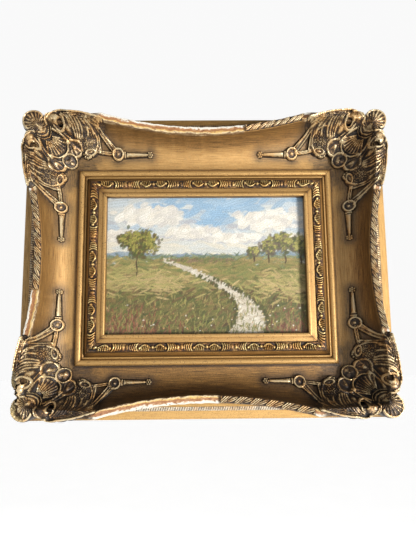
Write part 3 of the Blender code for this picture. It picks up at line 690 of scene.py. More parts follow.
def slip_ring():
    """(distance outwards, height, tone) points of the slip's section."""
    flat_start = LIP_FILLET_WIDTH + LIP_STEP
    channel_end = BAND_OFFSET + BAND_WIDTH + 2 * FIT_GAP
    slope_end = channel_end + SLOPE_RUN
    bead_start = slope_end + SMALL_BEAD_WIDTH
    rebate_wall = LIP_OVERLAP + REBATE_SLACK
    points = [
        (0.0, LIP_UNDERSIDE, 0.3), (0.0, LIP_HEIGHT - 0.0012, 0.45), (0.0002, LIP_HEIGHT - 0.0004, 0.75),
        (0.0007, LIP_HEIGHT - 0.0001, 0.85), (0.0014, LIP_HEIGHT, 0.8),
        (LIP_FILLET_WIDTH - 0.0003, LIP_HEIGHT - 0.0001, 0.7),
        (LIP_FILLET_WIDTH + 0.0001, LIP_HEIGHT - 0.0003, 0.5),
        (flat_start, LIP_HEIGHT - LIP_STEP, 0.4), (flat_start + 0.001, LIP_HEIGHT - LIP_STEP - 0.0001, 0.6),
        (BAND_OFFSET - 0.0008, PLAIN_EDGE_HEIGHT + 0.0001, 0.6),
        (BAND_OFFSET - 0.0001, PLAIN_EDGE_HEIGHT - 0.0001, 0.45),
        (BAND_OFFSET, CHANNEL_HEIGHT, 0.1), (channel_end, CHANNEL_HEIGHT, 0.1),
    ]
    for share in (0.12, 0.35, 0.6, 0.85):
        ease = 1 - math.cos(share * math.pi / 2)
        height = CHANNEL_HEIGHT + (BEAD_FOOT_HEIGHT - CHANNEL_HEIGHT) * (0.6 * share + 0.4 * ease)
        points.append((channel_end + SLOPE_RUN * share, height, 0.55 - 0.25 * share))
    points.append((slope_end, BEAD_FOOT_HEIGHT, 0.15))
    points += arc_points(slope_end, bead_start, BEAD_FOOT_HEIGHT, SMALL_BEAD_RISE, 0.3, 0.75, 6)
    points.append((bead_start, BEAD_FOOT_HEIGHT, 0.1))
    bead_rise = BEAD_HEIGHT - BEAD_FOOT_HEIGHT
    points += arc_points(bead_start, SLIP_WIDTH, BEAD_FOOT_HEIGHT, bead_rise, 0.3, 0.85, 12)
    return points + [
        (SLIP_WIDTH, BEAD_FOOT_HEIGHT - 0.0002, 0.2), (SLIP_WIDTH, SLIP_BACK_HEIGHT, 0.2),
        (rebate_wall, SLIP_BACK_HEIGHT, 0.2), (rebate_wall, LIP_UNDERSIDE, 0.2),
    ]


def slip_piece(side, quarter, sight_length, sight_reach, gilt, wood):
    ring = slip_ring()
    rings, tones, uv = [], [], []
    for share in np.linspace(-1, 1, SLIP_STATIONS):
        section = []
        for out, height, tone in ring:
            x = share * (sight_length / 2 + out - MITRE_GAP)
            section.append((x, -height, sight_reach + out))
            near_mitre = max(0.0, (abs(share) - 0.9) / 0.1)
            tones.append(tone - 0.25 * near_mitre ** 2)
            uv.append((x, out + height))
        rings.append(section)
    points, faces, segments = loft_sections(turned(np.array(rings), quarter))
    slots = [int(k >= len(ring) - 3) for k in segments] + [1, 1]
    numbers = {"tone": np.array(tones)}
    piece = make_piece("ornate_slip_" + side, points, faces, (gilt, wood), slots, np.array(uv), numbers)
    ready(piece, "slip_" + side)


def half_round(distance, width):
    """1 on a line and 0 at width from it, round between."""
    return np.sqrt(np.clip(1 - (distance / width) ** 2, 0, 1))


def band_relief(x, v):
    """Share of the crest height of the band at x from its middle and v from -1 to 1 across."""
    place = np.abs((x / BAND_UNIT + 0.5) % 1.0 - 0.5) * BAND_UNIT * 1000
    made = np.full_like(x, 0.06)
    # A small flower, an arched leaf with fine ribs under a scroll, then C shaped ribs and a bud
    made = np.maximum(made, 0.9 * half_round(np.hypot(place, v * 3.3), 1.5))
    arch = 0.15 - 0.75 * np.cos((place - 6.0) / 4.4 * math.pi / 2)
    made = np.maximum(made, np.where((place > 1.6) & (place < 10.4), 0.85 * half_round(v - arch, 0.22), 0))
    fan = 0.5 + 0.4 * np.cos(2 * math.pi * (place / 1.45 - 0.5 * v))
    made = np.maximum(made, np.where((place > 2.4) & (place < 9.4) & (v > arch) & (v < 0.8), fan, 0))
    made = np.maximum(made, 0.9 * half_round(np.hypot(place - 10.6, (v - 0.2) * 3.0), 1.3))
    for k in range(4):
        centre = 13.4 + 1.75 * k - 1.5 * (v * v)
        rib = half_round(place - centre, 0.8) * half_round(v, 1.02 - 0.1 * k) ** 0.5
        made = np.maximum(made, (1.0 - 0.1 * k) * rib)
    bud = np.hypot((place - 20.6) / 1.6, v * 1.5)
    return np.maximum(made, 0.6 * half_round(bud, 1.0))


def local_crest(relief, radius):
    """Relief less its own local mean, both in the same unit."""
    mean = relief
    size = 2 * radius + 1
    for _ in range(2):
        total = np.cumsum(np.cumsum(np.pad(mean, radius, mode="edge"), 0), 1)
        total = np.pad(total, ((1, 0), (1, 0)))
        mean = total[size:, size:] - total[:-size, size:] - total[size:, :-size] + total[:-size, :-size]
        mean = mean / size ** 2
    return relief - mean


def edge_fall(v):
    """1 over the middle of a strip, falling round to 0 at v = -1 and 1."""
    return np.clip((1 - np.abs(v)) / 0.12, 0, 1) ** 0.5


def band_piece(side, quarter, sight_length, sight_reach, finish):
    near = BAND_OFFSET + FIT_GAP
    half = sight_length / 2 + near
    x = np.linspace(-half, half, int(2 * half / BAND_CELL))
    x, v = np.meshgrid(x, np.linspace(-1, 1, BAND_POINTS), indexing="ij")
    out = near + BAND_WIDTH * (v + 1) / 2
    lean = (np.abs(x) / half) ** 8
    shares = band_relief(x, v)
    relief = (BAND_EDGE_HEIGHT + (BAND_CREST_HEIGHT - BAND_EDGE_HEIGHT) * shares) * edge_fall(v)
    crest = 0.46 + 0.75 * local_crest(shares, 4) + 0.15 * (shares - 0.4)
    x = x * (1 + (out - near) / half * lean) - np.sign(x) * lean * MITRE_GAP
    floor = np.full_like(x, CHANNEL_HEIGHT)
    piece = relief_strip("ornate_band_" + side, quarter, x, sight_reach + out, floor, relief, crest, finish)
    ready(piece, "slip_band_" + side)


# The leaf strip on the ridge

def leaf_relief(share, v):
    """Share of the leaf height at share of a leaf's pitch and v from -1 to 1 across the ridge."""
    slanted = share + 0.14 * v
    u = (slanted - np.floor(slanted) - 0.5) * 11.8
    w = v * 3.0
    made = np.full_like(u, 0.10)
    # A slender leaf with a vein, then slanted bars up to the next one
    c, s = math.cos(math.radians(34)), math.sin(math.radians(34))
    long_way, cross_way = (u + 2.4) * c - w * s, (u + 2.4) * s + w * c
    size = np.hypot(long_way / 4.3, cross_way / (1.7 - 0.14 * long_way))
    vein = 0.5 * half_round(cross_way + 0.2, 0.6) * (size < 0.8)
    made = np.maximum(made, (0.95 - 0.12 * cross_way) * half_round(size, 1.0) ** 0.6 - vein)
    c, s = math.cos(math.radians(60)), math.sin(math.radians(60))
    for place, height in ((0.9, 0.75), (2.6, 1.0), (4.3, 0.9)):
        made = np.maximum(made, height * half_round(u * s + w * c - place, 0.80))
    rough = 0.05 * np.sin(u * 9.1 + share * 3.7) * np.sin(w * 7.3)
    return np.clip((made + rough) * np.clip(1.0 - v * v, 0, 1) ** 0.25, 0, 1)


def strip_piece(side, quarter, length, reach, span, finish):
    half = length / 2
    low, high = span
    pitch = (high - low) / max(1, round((high - low) / LEAF_PITCH))
    x = np.linspace(low, high, int((high - low) / STRIP_CELL))
    x, v = np.meshgrid(x, np.linspace(-1, 1, STRIP_POINTS), indexing="ij")
    along = half - np.abs(x)
    near = ridge_inset(along, half) + STRIP_MARGIN
    across = near + (RIDGE_WIDTH - 2 * STRIP_MARGIN) * (v + 1) / 2
    shares = leaf_relief((x - low) / pitch, v)
    relief = (STRIP_EDGE_HEIGHT + (STRIP_LEAF_HEIGHT - STRIP_EDGE_HEIGHT) * shares) * edge_fall(v)
    crest = 0.50 + 0.75 * local_crest(shares, 6) + 0.2 * (shares - 0.5)
    name = "ornate_leaf_strip_" + side
    floor = ridge_height(along, half)
    piece = relief_strip(name, quarter, x, reach - across, floor, relief, crest, finish)
    ready(piece, "leaf_strip_" + side)


# The corner castings. Points are (along, across) on one wing in casting units, 66 to a wing, and the
# other wing mirrors it in the mitre

BODY_DISCS = (
    (10.6, 10.6, 9.8), (17, 17, 6.5), (25.5, 10.5, 6.8), (33, 11.4, 11.0), (40, 11.5, 10.8), (47, 12, 10.2),
    (54, 12, 8.2), (60, 11, 5.6), (63.8, 10, 3.8), (26, 22, 8.6), (35, 22, 8.5), (45, 19.5, 8.8),
    (51, 21, 8.6), (54, 25, 6.4), (50.5, 29, 4.4), (40, 26.5, 6.8), (36, 30, 7.4), (35.6, 35.6, 6.5),
)
PENDANT_SEGMENTS = (
    ((60, 12), (61, 26), 2.0, 2.0), ((61, 11), (74, 28), 2.3, 2.3), ((66, 16), (76, 26), 1.8, 2.0),
    ((58, 26.5), (74, 28.6), 1.9, 2.0), ((76.6, 28.9), (76.6, 28.9), 5.6, 5.6),
    ((79, 29.2), (85, 29.4), 3.2, 2.8), ((85, 29.4), (103, 29.6), 2.7, 1.8),
    ((104.2, 29.6), (104.2, 29.6), 2.9, 2.9),
)
SHELL = (10.6, 10.6)
SHELL_RADIUS = 9.8
SHELL_HUB = (15.0, 15.0)
VOLUTE_EYE = (32.0, 11.2)
VOLUTE_EYE_RADIUS = 2.4
CURL_HUB = (13.0, 13.0)
FAN_APEX = (18.0, 18.0)
ROSETTE = (35.6, 35.6)
RING = (76.6, 28.9)
DROP_FLOWER = (104.2, 29.6)
BARBS = (
    ((36, 4.6), (50, 5.0), (64.3, 8.8)), ((41, 6.2), (53, 6.8), (63.6, 9.6)),
    ((47, 8.2), (56, 8.6), (62.6, 10.6)),
)
FEATHERS = (
    ((33.5, 5.0), (39.5, 8.5), (39.8, 13.0)), ((36.0, 5.0), (42.4, 9.5), (42.4, 18.5)),
    ((39.2, 5.8), (45.0, 10.5), (44.0, 19.2)), ((42.6, 7.0), (47.6, 11.5), (45.8, 19.3)),
    ((46.0, 8.6), (50.6, 12.5), (47.8, 18.8)), ((49.2, 9.6), (54.4, 12.4), (53.0, 17.0)),
    ((52.2, 9.8), (57.4, 11.8), (57.4, 15.6)), ((55.2, 10.0), (60.4, 11.0), (62.4, 12.2)),
)

# Round ribs: half width, height, and the points of their path
RIBS = (
    # The volute: its roll, the outer rib down the wing and the curl, then the ribs under it
    (1.3, 5.2, (20.6, 12.0), (19.8, 2.6), (29.0, 3.4)),
    (1.35, 5.2, (22, 9), (27, -2.0), (38, 2.6), (52, 3.6), (65.5, 8.4)),
    (0.95, 4.2, (26.5, 12.9), (31.5, 19.0), (35.6, 12.5), (36.3, 8.0), (33, 6.4)),
    (1.0, 3.8, (24.5, 14.5), (31, 16.5), (36.6, 22.5)),
    (0.6, 3.2, (28.5, 14.6), (34, 16.8), (39.5, 20.6)),
    # The rims of the lobe and of the pebbled panel
    (1.3, 3.0, (37, 20.6), (47.0, 20.0), (46.2, 26.5), (45.6, 31), (40.5, 31.6)),
    (0.9, 3.2, (50, 13), (60.5, 12.5), (59.6, 21), (58.5, 29.5), (51.5, 32.0)),
    # The pendant's brace and its two collars
    (0.75, 2.6, (66.5, 16.5), (76, 25.5)),
    (0.8, 3.0, (82.6, 27.4), (82.6, 31.4)),
    (0.6, 2.6, (84.6, 28.0), (84.6, 31.0)),
)
# Double struts of the pendant: half the distance between the lines, height, and the two ends
STRUTS = (
    (0.95, 2.7, (59.8, 12), (61, 26)), (1.1, 3.0, (61.2, 11.5), (73, 26.5)),
    (0.8, 2.5, (58, 26.6), (73, 28.5)),
)


def on_circle(centre, radius, count, start=0.0):
    """Points on a circle."""
    ways = [start + 2 * math.pi * k / count for k in range(count)]
    return [(centre[0] + radius * math.cos(way), centre[1] + radius * math.sin(way)) for way in ways]


# Rounded bosses: centre, half length, half width, height, and tilt in degrees
BOSSES = (
    (SHELL_HUB, 2.0, 2.0, 4.8), ((26.0, 8.0), 6.4, 5.4, 4.4, 15), ((37.4, 14.6), 4.0, 2.4, 3.6, 55),
    ((34.8, 22.6), 1.9, 1.9, 4.2), ((40.0, 25.2), 2.6, 2.2, 2.6, 40), (ROSETTE, 0.9, 0.9, 2.5),
    (RING, 1.5, 1.5, 1.6), (DROP_FLOWER, 0.9, 0.9, 3.0),
    *((spot, 0.95, 0.95, 2.6) for spot in ((46.8, 29.6), (48.2, 31.5), (50.2, 32.3))),
    *((spot, 2.3, 2.3, 1.9) for spot in on_circle(ROSETTE, 2.1, 3, math.pi / 4)),
    *((spot, 0.9, 0.9, 2.5) for spot in on_circle(DROP_FLOWER, 1.85, 6)),
)


def segment_distance(p, q, first, second):
    """Distance to the segment first-second and the share of the way along it."""
    ax, ay = first
    dx, dy = second[0] - ax, second[1] - ay
    squared = dx * dx + dy * dy
    share = np.clip(((p - ax) * dx + (q - ay) * dy) / squared, 0, 1) if squared else np.zeros_like(p)
    return np.hypot(p - ax - share * dx, q - ay - share * dy), share


def path(points, steps=8):
    """The segments of quadratic curves: every second point is on the line, the others pull it. Two points
    give a straight line."""
    if len(points) == 2:
        return [points]
    line = []
    for first, bend, second in zip(points[::2], points[1::2], points[2::2]):
        for i in range(steps + 1):
            t = i / steps
            line.append(tuple(
                (1 - t) ** 2 * a + 2 * t * (1 - t) * b + t * t * c for a, b, c in zip(first, bend, second)
            ))
    return [pair for pair in zip(line, line[1:]) if pair[0] != pair[1]]


def nearest(p, q, segments):
    """Distance to the nearest of the segments."""
    found = np.full_like(p, 1e9)
    for first, second in segments:
        found = np.minimum(found, segment_distance(p, q, first, second)[0])
    return found


def dome(p, q, centre, along, across, height, tilt=0.0):
    """A rounded boss with the given half length and half width, turned by tilt degrees."""
    c, s = math.cos(math.radians(tilt)), math.sin(math.radians(tilt))
    u = ((p - centre[0]) * c + (q - centre[1]) * s) / along
    v = ((q - centre[1]) * c - (p - centre[0]) * s) / across
    return height * np.sqrt(np.clip(1 - u * u - v * v, 0, 1))


def polar(p, q, centre):
    """Distance from centre and the angle about it, 0 along the mitre towards the picture."""
    return np.hypot(p - centre[0], q - centre[1]), np.arctan2(q - centre[1], p - centre[0]) - math.pi / 4


def outline_distance(p, q):
    """Distance outside the casting's outline, negative inside it."""
    found = np.full_like(p, 1e9)
    for x, y, radius in BODY_DISCS:
        found = np.minimum(found, np.hypot(p - x, q - y) - radius)
    for first, second, start, end in PENDANT_SEGMENTS:
        away, share = segment_distance(p, q, first, second)
        found = np.minimum(found, away - (start + (end - start) * share))
    return found


def carving(p, q):
    """Height of the carving over the casting's smooth body, in casting units."""
    made = np.zeros_like(p)

    def lay(height, where=None):
        np.maximum(made, height if where is None else np.where(where, height, 0), out=made)

    # What the tables hold: ribs, struts and bosses
    for width, height, *points in RIBS:
        lay(height * half_round(nearest(p, q, path(points)), width))
    for points in BARBS:
        lay(4.0 * half_round(nearest(p, q, path(points)), 0.85))
    for points in FEATHERS:
        lay(3.6 * half_round(nearest(p, q, path(points)), 1.15))
    for reach, height, *points in STRUTS:
        away = nearest(p, q, path(points))
        lay(height * half_round(away - reach, 0.6))
        lay(0.55 * height, away < reach)
    for row in BOSSES:
        lay(dome(p, q, *row))
    # The cupped shell on the corner, with nested curls under it
    r, _ = polar(p, q, SHELL)
    _, turn = polar(p, q, SHELL_HUB)
    lay(2.4 + 0.6 * np.cos(turn * 22) * np.clip(r / 4, 0, 1) + 0.13 * r, r < SHELL_RADIUS)
    lay(4.9 * half_round(r - 8.4, 1.4), (SHELL[0] - p + SHELL[1] - q) > -6)
    r, turn = polar(p, q, CURL_HUB)
    lay(2.8 + 1.2 * np.cos((r - 4) * 2 * math.pi / 2.1), (r > 2.5) & (r < 10.4) & (np.abs(turn) < 0.75))
    # The ribbed shield with its rolled edge, and the fluted lobe
    r, turn = polar(p, q, FAN_APEX)
    fan = 2.2 + 0.75 * np.cos(turn * 40) + 1.5 * np.sin(np.clip(r / 17, 0, 1) * math.pi)
    lay(fan, (r > 5.5) & (r < 16.4) & (np.abs(turn) < 0.60))
    lay(3.7 * half_round((np.abs(turn) - 0.65) * r, 0.75), (r > 5) & (r < 17))
    lay(2.9 * half_round(r - 16.0, 0.6), np.abs(turn) < 0.5)
    lay(3.6 * half_round(nearest(p, q, path(((34.6, 22), (35.6, 28.5), (31, 31)), 6)), 0.85))
    flutes = np.cos(np.arctan2(q - 20.5, p - 36.5) * 17)
    lay(1.5 + 0.6 * flutes, np.hypot(p - 40.6, q - 26.2) < 4.4)
    # The pebbled panel and its hollow almond
    u, v = p + 0.45 * np.sin(q * 1.9), q + 0.45 * np.sin(p * 1.6)
    pebbles = np.cos(2 * math.pi * (u + 0.35 * v) / 2.5) * np.cos(2 * math.pi * (v - 0.2 * u) / 2.3)
    panel = np.hypot((p - 53) / 1.15, (q - 20.5) / 1.2) < 6.4
    lay(1.2 + 2.0 * np.clip(pebbles, 0, 1), panel & (q > 13))
    c, s = math.cos(math.radians(-14)), math.sin(math.radians(-14))
    size = np.hypot(((p - 53.2) * c + (q - 28.2) * s) / 4.9, ((q - 28.2) * c - (p - 53.2) * s) / 2.3)
    lay(3.4 * half_round(size - 0.85, 0.24))
    lay(2.6 * half_round(size, 0.5))
    # The rims of the rosette and the pendant's ring, and the pendant's tapered bar
    lay(3.2 * half_round(polar(p, q, ROSETTE)[0] - 5.7, 0.9))
    lay(3.1 * half_round(polar(p, q, RING)[0] - 4.4, 1.1))
    away, share = segment_distance(p, q, (86, 29.4), (100.8, 29.6))
    lay(3.0 * half_round(away, 2.1 - 1.0 * share))
    # Neighbouring ribs grow together at their feet
    return np.maximum(made, 0.85 * (made - local_crest(made, 4)))


def carrier_height(along, across, half_length):
    """The smooth surface that the casting's relief stands on."""
    inset = ridge_inset(along, half_length)
    top = ridge_height(along, half_length)
    fall = OUTER_FALL_DEPTH * (np.clip(inset - across, 0, None) / OUTER_FALL_RUN) ** 1.5
    slim = np.clip((along - FILL_END) / (WING_LENGTH - FILL_END), 0, 1)
    power = FILL_POWER + (2 - FILL_POWER) * slim
    return cove_height(across, inset + RIDGE_WIDTH, top, power) - fall


def casting_surface(a, b, half_a, half_b, broken):
    """Top height, relief in casting units, broken share and share of the second wing at a and b from the
    two outer edges."""
    p = np.maximum(a, b) / CASTING_UNIT
    q = np.minimum(a, b) / CASTING_UNIT
    overlap = np.clip(1 - np.abs(a - b) / MITRE_ROUNDING, 0, 1)
    across = np.minimum(a, b) - overlap * overlap * MITRE_ROUNDING / 4
    carrier = carrier_height(np.maximum(a, b), across, np.where(a > b, half_a, half_b))
    inside = np.clip(-outline_distance(p, q), 0, None)
    body = 0.8 * np.sqrt(np.clip(inside / 1.2, 0, 1))
    carved = carving(p, q) * np.clip(inside / 0.8, 0, 1)
    eye = polar(p, q, VOLUTE_EYE)[0] < VOLUTE_EYE_RADIUS
    relief = np.where(eye, -1.6, PILLOW_RISE * inside + np.maximum(body, carved))
    top = carrier + relief * CASTING_UNIT
    raw = np.zeros_like(a)
    if broken:
        u, v = a / CASTING_UNIT, b / CASTING_UNIT
        jagged = 5.0 + 1.0 * np.sin(u * 0.7) + 0.6 * np.sin(u * 1.9 + 1)
        strip = (v < jagged) & (u < 40)
        lost = strip | (np.hypot(u, v) < 13)
        crack = (np.abs(v - jagged - 1.6) < 1.3 + 0.6 * np.sin(u * 1.1)) & (u > 9) & (u < 30)
        relief = np.where(crack, -1.2, relief)
        top = carrier + relief * CASTING_UNIT
        rough = 0.5 * np.sin(u * 1.5) * np.cos(v * 1.7) + 0.25 * np.sin(u * 4.3 + v * 3.1)
        shelf = RIDGE_HEIGHT_END + CASTING_UNIT * (rough - 1)
        raw = np.where(strip, 1.0, np.where(lost & (top > shelf), 0.6, 0.0))
        top = np.where(lost, np.minimum(top, shelf), top)
    limit = -cad_low.y
    knee = limit - TOP_EASING
    top = np.where(top > knee, knee + TOP_EASING * np.tanh(np.clip(top - knee, 0, None) / TOP_EASING), top)
    return top, relief, raw, smooth_step((b - a) / (18 * CASTING_UNIT) + 0.5)


def casting_piece(name, quarter, right, up, covered, half_a, half_b, finish):
    ticks = np.arange(-CASTING_OVERHANG, CASTING_REACH, CASTING_CELL)
    a, b = np.meshgrid(ticks, ticks, indexing="ij")

    def outside(a, b):
        far, near = np.maximum(a, b), np.minimum(a, b)
        return outline_distance(far / CASTING_UNIT, near / CASTING_UNIT) * CASTING_UNIT

    # The grid's points beside the outline are moved onto it
    step = CASTING_CELL / 4
    used = outside(a[:-1, :-1] + CASTING_CELL / 2, b[:-1, :-1] + CASTING_CELL / 2) < 0
    slope_a = (outside(a + step, b) - outside(a - step, b)) / (2 * step)
    slope_b = (outside(a, b + step) - outside(a, b - step)) / (2 * step)
    steep = np.maximum(np.hypot(slope_a, slope_b), 0.5)
    slope_a, slope_b = slope_a / steep, slope_b / steep
    padded = np.pad(used, 1)
    cells = padded[:-1, :-1].astype(int) + padded[1:, :-1] + padded[:-1, 1:] + padded[1:, 1:]
    edge = (cells > 0) & (cells < 4)
    away = np.where(edge, np.clip(outside(a, b), -CASTING_CELL * 0.6, CASTING_CELL * 0.6), 0)
    a = np.maximum(a - slope_a * away, -CASTING_OVERHANG)
    b = np.maximum(b - slope_b * away, -CASTING_OVERHANG)
    top, relief, raw, wing_b = casting_surface(a, b, half_a, half_b, name == "bottom_left")
    under = rail_surface(np.maximum(a, b), np.minimum(a, b), np.where(a > b, half_a, half_b)) - SINK
    under = np.minimum(under, top - 0.0001)

    def place(height):
        made = turned(np.stack([a, -height, -b], -1), quarter)
        made[..., 0] += right * FRAME_WIDTH / 2
        made[..., 2] += up * FRAME_HEIGHT / 2
        return made

    outward = turned(np.stack([slope_a, np.zeros_like(a), -slope_b], -1), quarter)
    outward[..., 2] += CENTRE_DROP
    points, faces, source, level = solid_between(place(top), place(under), used, WALL_ROWS, outward)
    for axis in (0, 2):
        points[:, axis] = np.clip(points[:, axis], cad_low[axis], cad_high[axis])
    shape = np.clip(relief, 0, 6)
    crest = 0.50 + 0.28 * local_crest(shape, 3) + 0.08 * local_crest(shape, 9)
    # Painted shade, set per side and darkest on the bottom castings
    crest = crest - CASTING_PAINTED_SHADE[covered[0]] * (1 - wing_b) - CASTING_PAINTED_SHADE[covered[1]] * wing_b
    # Painted shade in the volute's eye and the cracks
    crest = np.where(relief < -0.5, -0.4, crest)
    crest = np.where(level == 0, crest.ravel()[source], WALL_CREST)
    numbers = {"crest": crest, "raw": raw.ravel()[source]}
    piece = make_piece("ornate_corner_" + name, points, faces.tolist(), (finish,), numbers=numbers)
    ready(piece, "corner_casting_" + name)


# The painting: a generic landscape laid in stroke by stroke

PAINT_COLUMNS = 320
PAINT_ROWS = 228
PAINT_SHARE = 0.46
PAINT_THICKNESS = 0.00016
PAINT_SEED = 41


class Canvas:
    """Colours and paint thickness on a grid, painted with short oval strokes."""

    def __init__(self, seed):
        self.random = np.random.default_rng(seed)
        self.colour = np.ones((PAINT_COLUMNS, PAINT_ROWS, 3)) * 0.5
        self.thick = np.zeros((PAINT_COLUMNS, PAINT_ROWS))
        self.u, self.v = np.meshgrid(
            np.linspace(0, 1, PAINT_COLUMNS), np.linspace(0, 1, PAINT_ROWS), indexing="ij"
        )

    def stroke(self, u, v, length, width, angle, colour, opacity, body):
        """A stroke centred on (u, v), shares of the board from its lower left corner. length and width
        are in board heights."""
        aspect = BOARD_WIDTH / BOARD_HEIGHT
        reach = max(length, width) * 1.05
        i0, i1 = [int(round((u + s * reach / aspect) * (PAINT_COLUMNS - 1))) for s in (-1, 1)]
        j0, j1 = [int(round((v + s * reach) * (PAINT_ROWS - 1))) for s in (-1, 1)]
        i0, j0 = max(i0, 0), max(j0, 0)
        i1, j1 = min(i1 + 1, PAINT_COLUMNS), min(j1 + 1, PAINT_ROWS)
        if i0 >= i1 or j0 >= j1:
            return
        du = (self.u[i0:i1, j0:j1] - u) * aspect
        dv = self.v[i0:i1, j0:j1] - v
        c, s = math.cos(angle), math.sin(angle)
        x = (du * c + dv * s) / length
        y = (dv * c - du * s) / width
        cover = np.clip((1 - x * x - y * y) * 2.5, 0, 1) * opacity
        streak = 1 + 0.10 * np.sin(y * 9 + u * 50)
        tint = np.clip(np.array(colour)[None, None, :] * streak[..., None], 0, 1)
        area = self.colour[i0:i1, j0:j1]
        area += (tint - area) * cover[..., None]
        thick = self.thick[i0:i1, j0:j1]
        thick += (body * (0.6 + 0.4 * np.sin(y * 9 + u * 50)) - thick) * cover

    def fill(self, count, region, length, width, angle, palette, spread=0.12, opacity=0.85, body=0.4):
        """Strokes at the places (u, v) that region picks."""
        for _ in range(count):
            spot = region(self.random)
            base = np.array(palette[self.random.integers(len(palette))])
            colour = np.clip(base * (1 + spread * self.random.standard_normal()), 0, 1)
            turn = angle + 0.35 * self.random.standard_normal()
            size = 0.7 + 0.6 * self.random.random()
            self.stroke(*spot, length * size, width * size, turn, colour, opacity, body)


HORIZON = 0.55
# Clouds: middle, half width, half height, and how many strokes
CLOUDS = (
    (0.24, 0.84, 0.13, 0.055, 150), (0.42, 0.72, 0.10, 0.035, 100), (0.80, 0.80, 0.14, 0.050, 160),
    (0.63, 0.68, 0.12, 0.022, 70), (0.10, 0.70, 0.09, 0.028, 60),
)


def hill_line(u):
    """Height of the far hills above the horizon, as a share of the board."""
    return HORIZON + 0.030 * math.sin(u * 5.0 + 0.6) ** 2 + 0.012 * math.sin(u * 17.0)


def path_place(share):
    """Middle and half width of the footpath at a share of the way from the lower edge to the horizon."""
    middle = 0.62 + 0.20 * math.sin(share * 3.0 + 0.2) - 0.30 * share
    width = 0.085 * (1 - share) ** 1.3 + 0.004
    return middle, width


def palette(*colours):
    """Linear values of screen colours."""
    return [linear(*colour) for colour in colours]


def even(u, wide, v, tall):
    """Places spread evenly over a box from its lower left corner."""
    return lambda r: (u + wide * r.random(), v + tall * r.random())


def loose(u, wide, v, tall):
    """Places that thin out around (u, v)."""
    return lambda r: (u + wide * r.standard_normal(), v + tall * r.standard_normal())


def rising(u, wide, tall):
    """Places that thin out around u and upwards from the lower edge."""
    return lambda r: (u + wide * r.standard_normal(), abs(tall * r.standard_normal()))


def paint_ground_coat(canvas):
    above = smooth_step((canvas.v - HORIZON + 0.005) / 0.01)[..., None]
    pale, olive = np.array(linear(206, 210, 208)), np.array(linear(112, 106, 62))
    canvas.colour[:] = pale * above + olive * (1 - above)


def paint_sky(canvas):
    sky = palette((198, 210, 216), (206, 214, 216), (186, 202, 214), (212, 216, 212))
    haze = palette((222, 220, 208), (228, 222, 204), (212, 216, 212))
    blue = palette((152, 186, 214), (166, 194, 216))
    cream = palette((238, 234, 222), (232, 226, 212), (244, 240, 230), (218, 214, 206))
    shade = palette((190, 194, 200), (198, 198, 198))
    canvas.fill(900, even(0, 1, HORIZON, 1 - HORIZON), 0.09, 0.026, 0.0, sky, 0.05)
    canvas.fill(350, even(0, 1, HORIZON, 0.14), 0.10, 0.020, 0.0, haze, 0.04)
    canvas.fill(90, loose(0.55, 0.16, 0.90, 0.05), 0.06, 0.020, 0.2, blue, 0.04)
    for u, v, wide, tall, count in CLOUDS:
        def below(r):
            return u + wide * r.standard_normal() * 0.6, v - tall * (0.5 + 0.4 * r.random())

        canvas.fill(count // 3, below, 0.045, 0.016, 0.0, shade, 0.04)
        canvas.fill(count, loose(u, wide * 0.5, v, tall * 0.5), 0.035, 0.018, 0.3, cream, 0.04, 0.8, 0.8)


def paint_distance(canvas):
    def on_hills(r):
        u = r.random()
        return u, HORIZON + (hill_line(u) - HORIZON) * r.random()

    far = palette((138, 156, 172), (150, 164, 172), (128, 150, 160))
    canvas.fill(260, on_hills, 0.040, 0.010, 0.0, far, 0.05)
    foot = palette((120, 134, 108), (142, 148, 112), (104, 122, 104))
    canvas.fill(200, even(0, 1, HORIZON - 0.008, 0.014), 0.05, 0.006, 0.0, foot, 0.08)


def paint_meadow(canvas):
    near = palette((104, 104, 54), (120, 112, 62), (86, 92, 50), (128, 108, 66), (108, 86, 56))
    mid = palette((134, 132, 76), (150, 138, 84), (118, 124, 72), (160, 140, 92))
    light = palette((178, 162, 104), (164, 156, 96), (188, 166, 116))
    canvas.fill(900, even(0, 1, HORIZON * 0.55, HORIZON * 0.43), 0.05, 0.009, 0.05, mid, 0.10)
    canvas.fill(1500, even(0, 1, 0, HORIZON * 0.62), 0.030, 0.008, 0.5, near, 0.16)
    canvas.fill(260, loose(0.20, 0.15, 0.40, 0.05), 0.040, 0.006, 0.1, light, 0.08)
    canvas.fill(160, loose(0.86, 0.10, 0.36, 0.05), 0.035, 0.006, -0.1, light, 0.08)


def paint_path(canvas):
    def on_path(r):
        share = r.random() ** 1.4
        middle, width = path_place(share)
        return middle + width * (2 * r.random() - 1), HORIZON * 0.97 * share

    def beside(r):
        share = r.random() ** 1.3 * 0.8
        middle, width = path_place(share)
        side = 1 if r.random() < 0.5 else -1
        return middle + side * width * (1.1 + 0.25 * r.random()), HORIZON * 0.97 * share

    pale = palette((214, 204, 184), (202, 192, 172), (222, 216, 200), (188, 176, 152))
    verge = palette((84, 86, 42), (96, 78, 44), (70, 76, 40))
    canvas.fill(700, on_path, 0.022, 0.007, 0.1, pale, 0.06, 0.85, 0.7)
    canvas.fill(300, beside, 0.016, 0.006, 1.2, verge, 0.15)


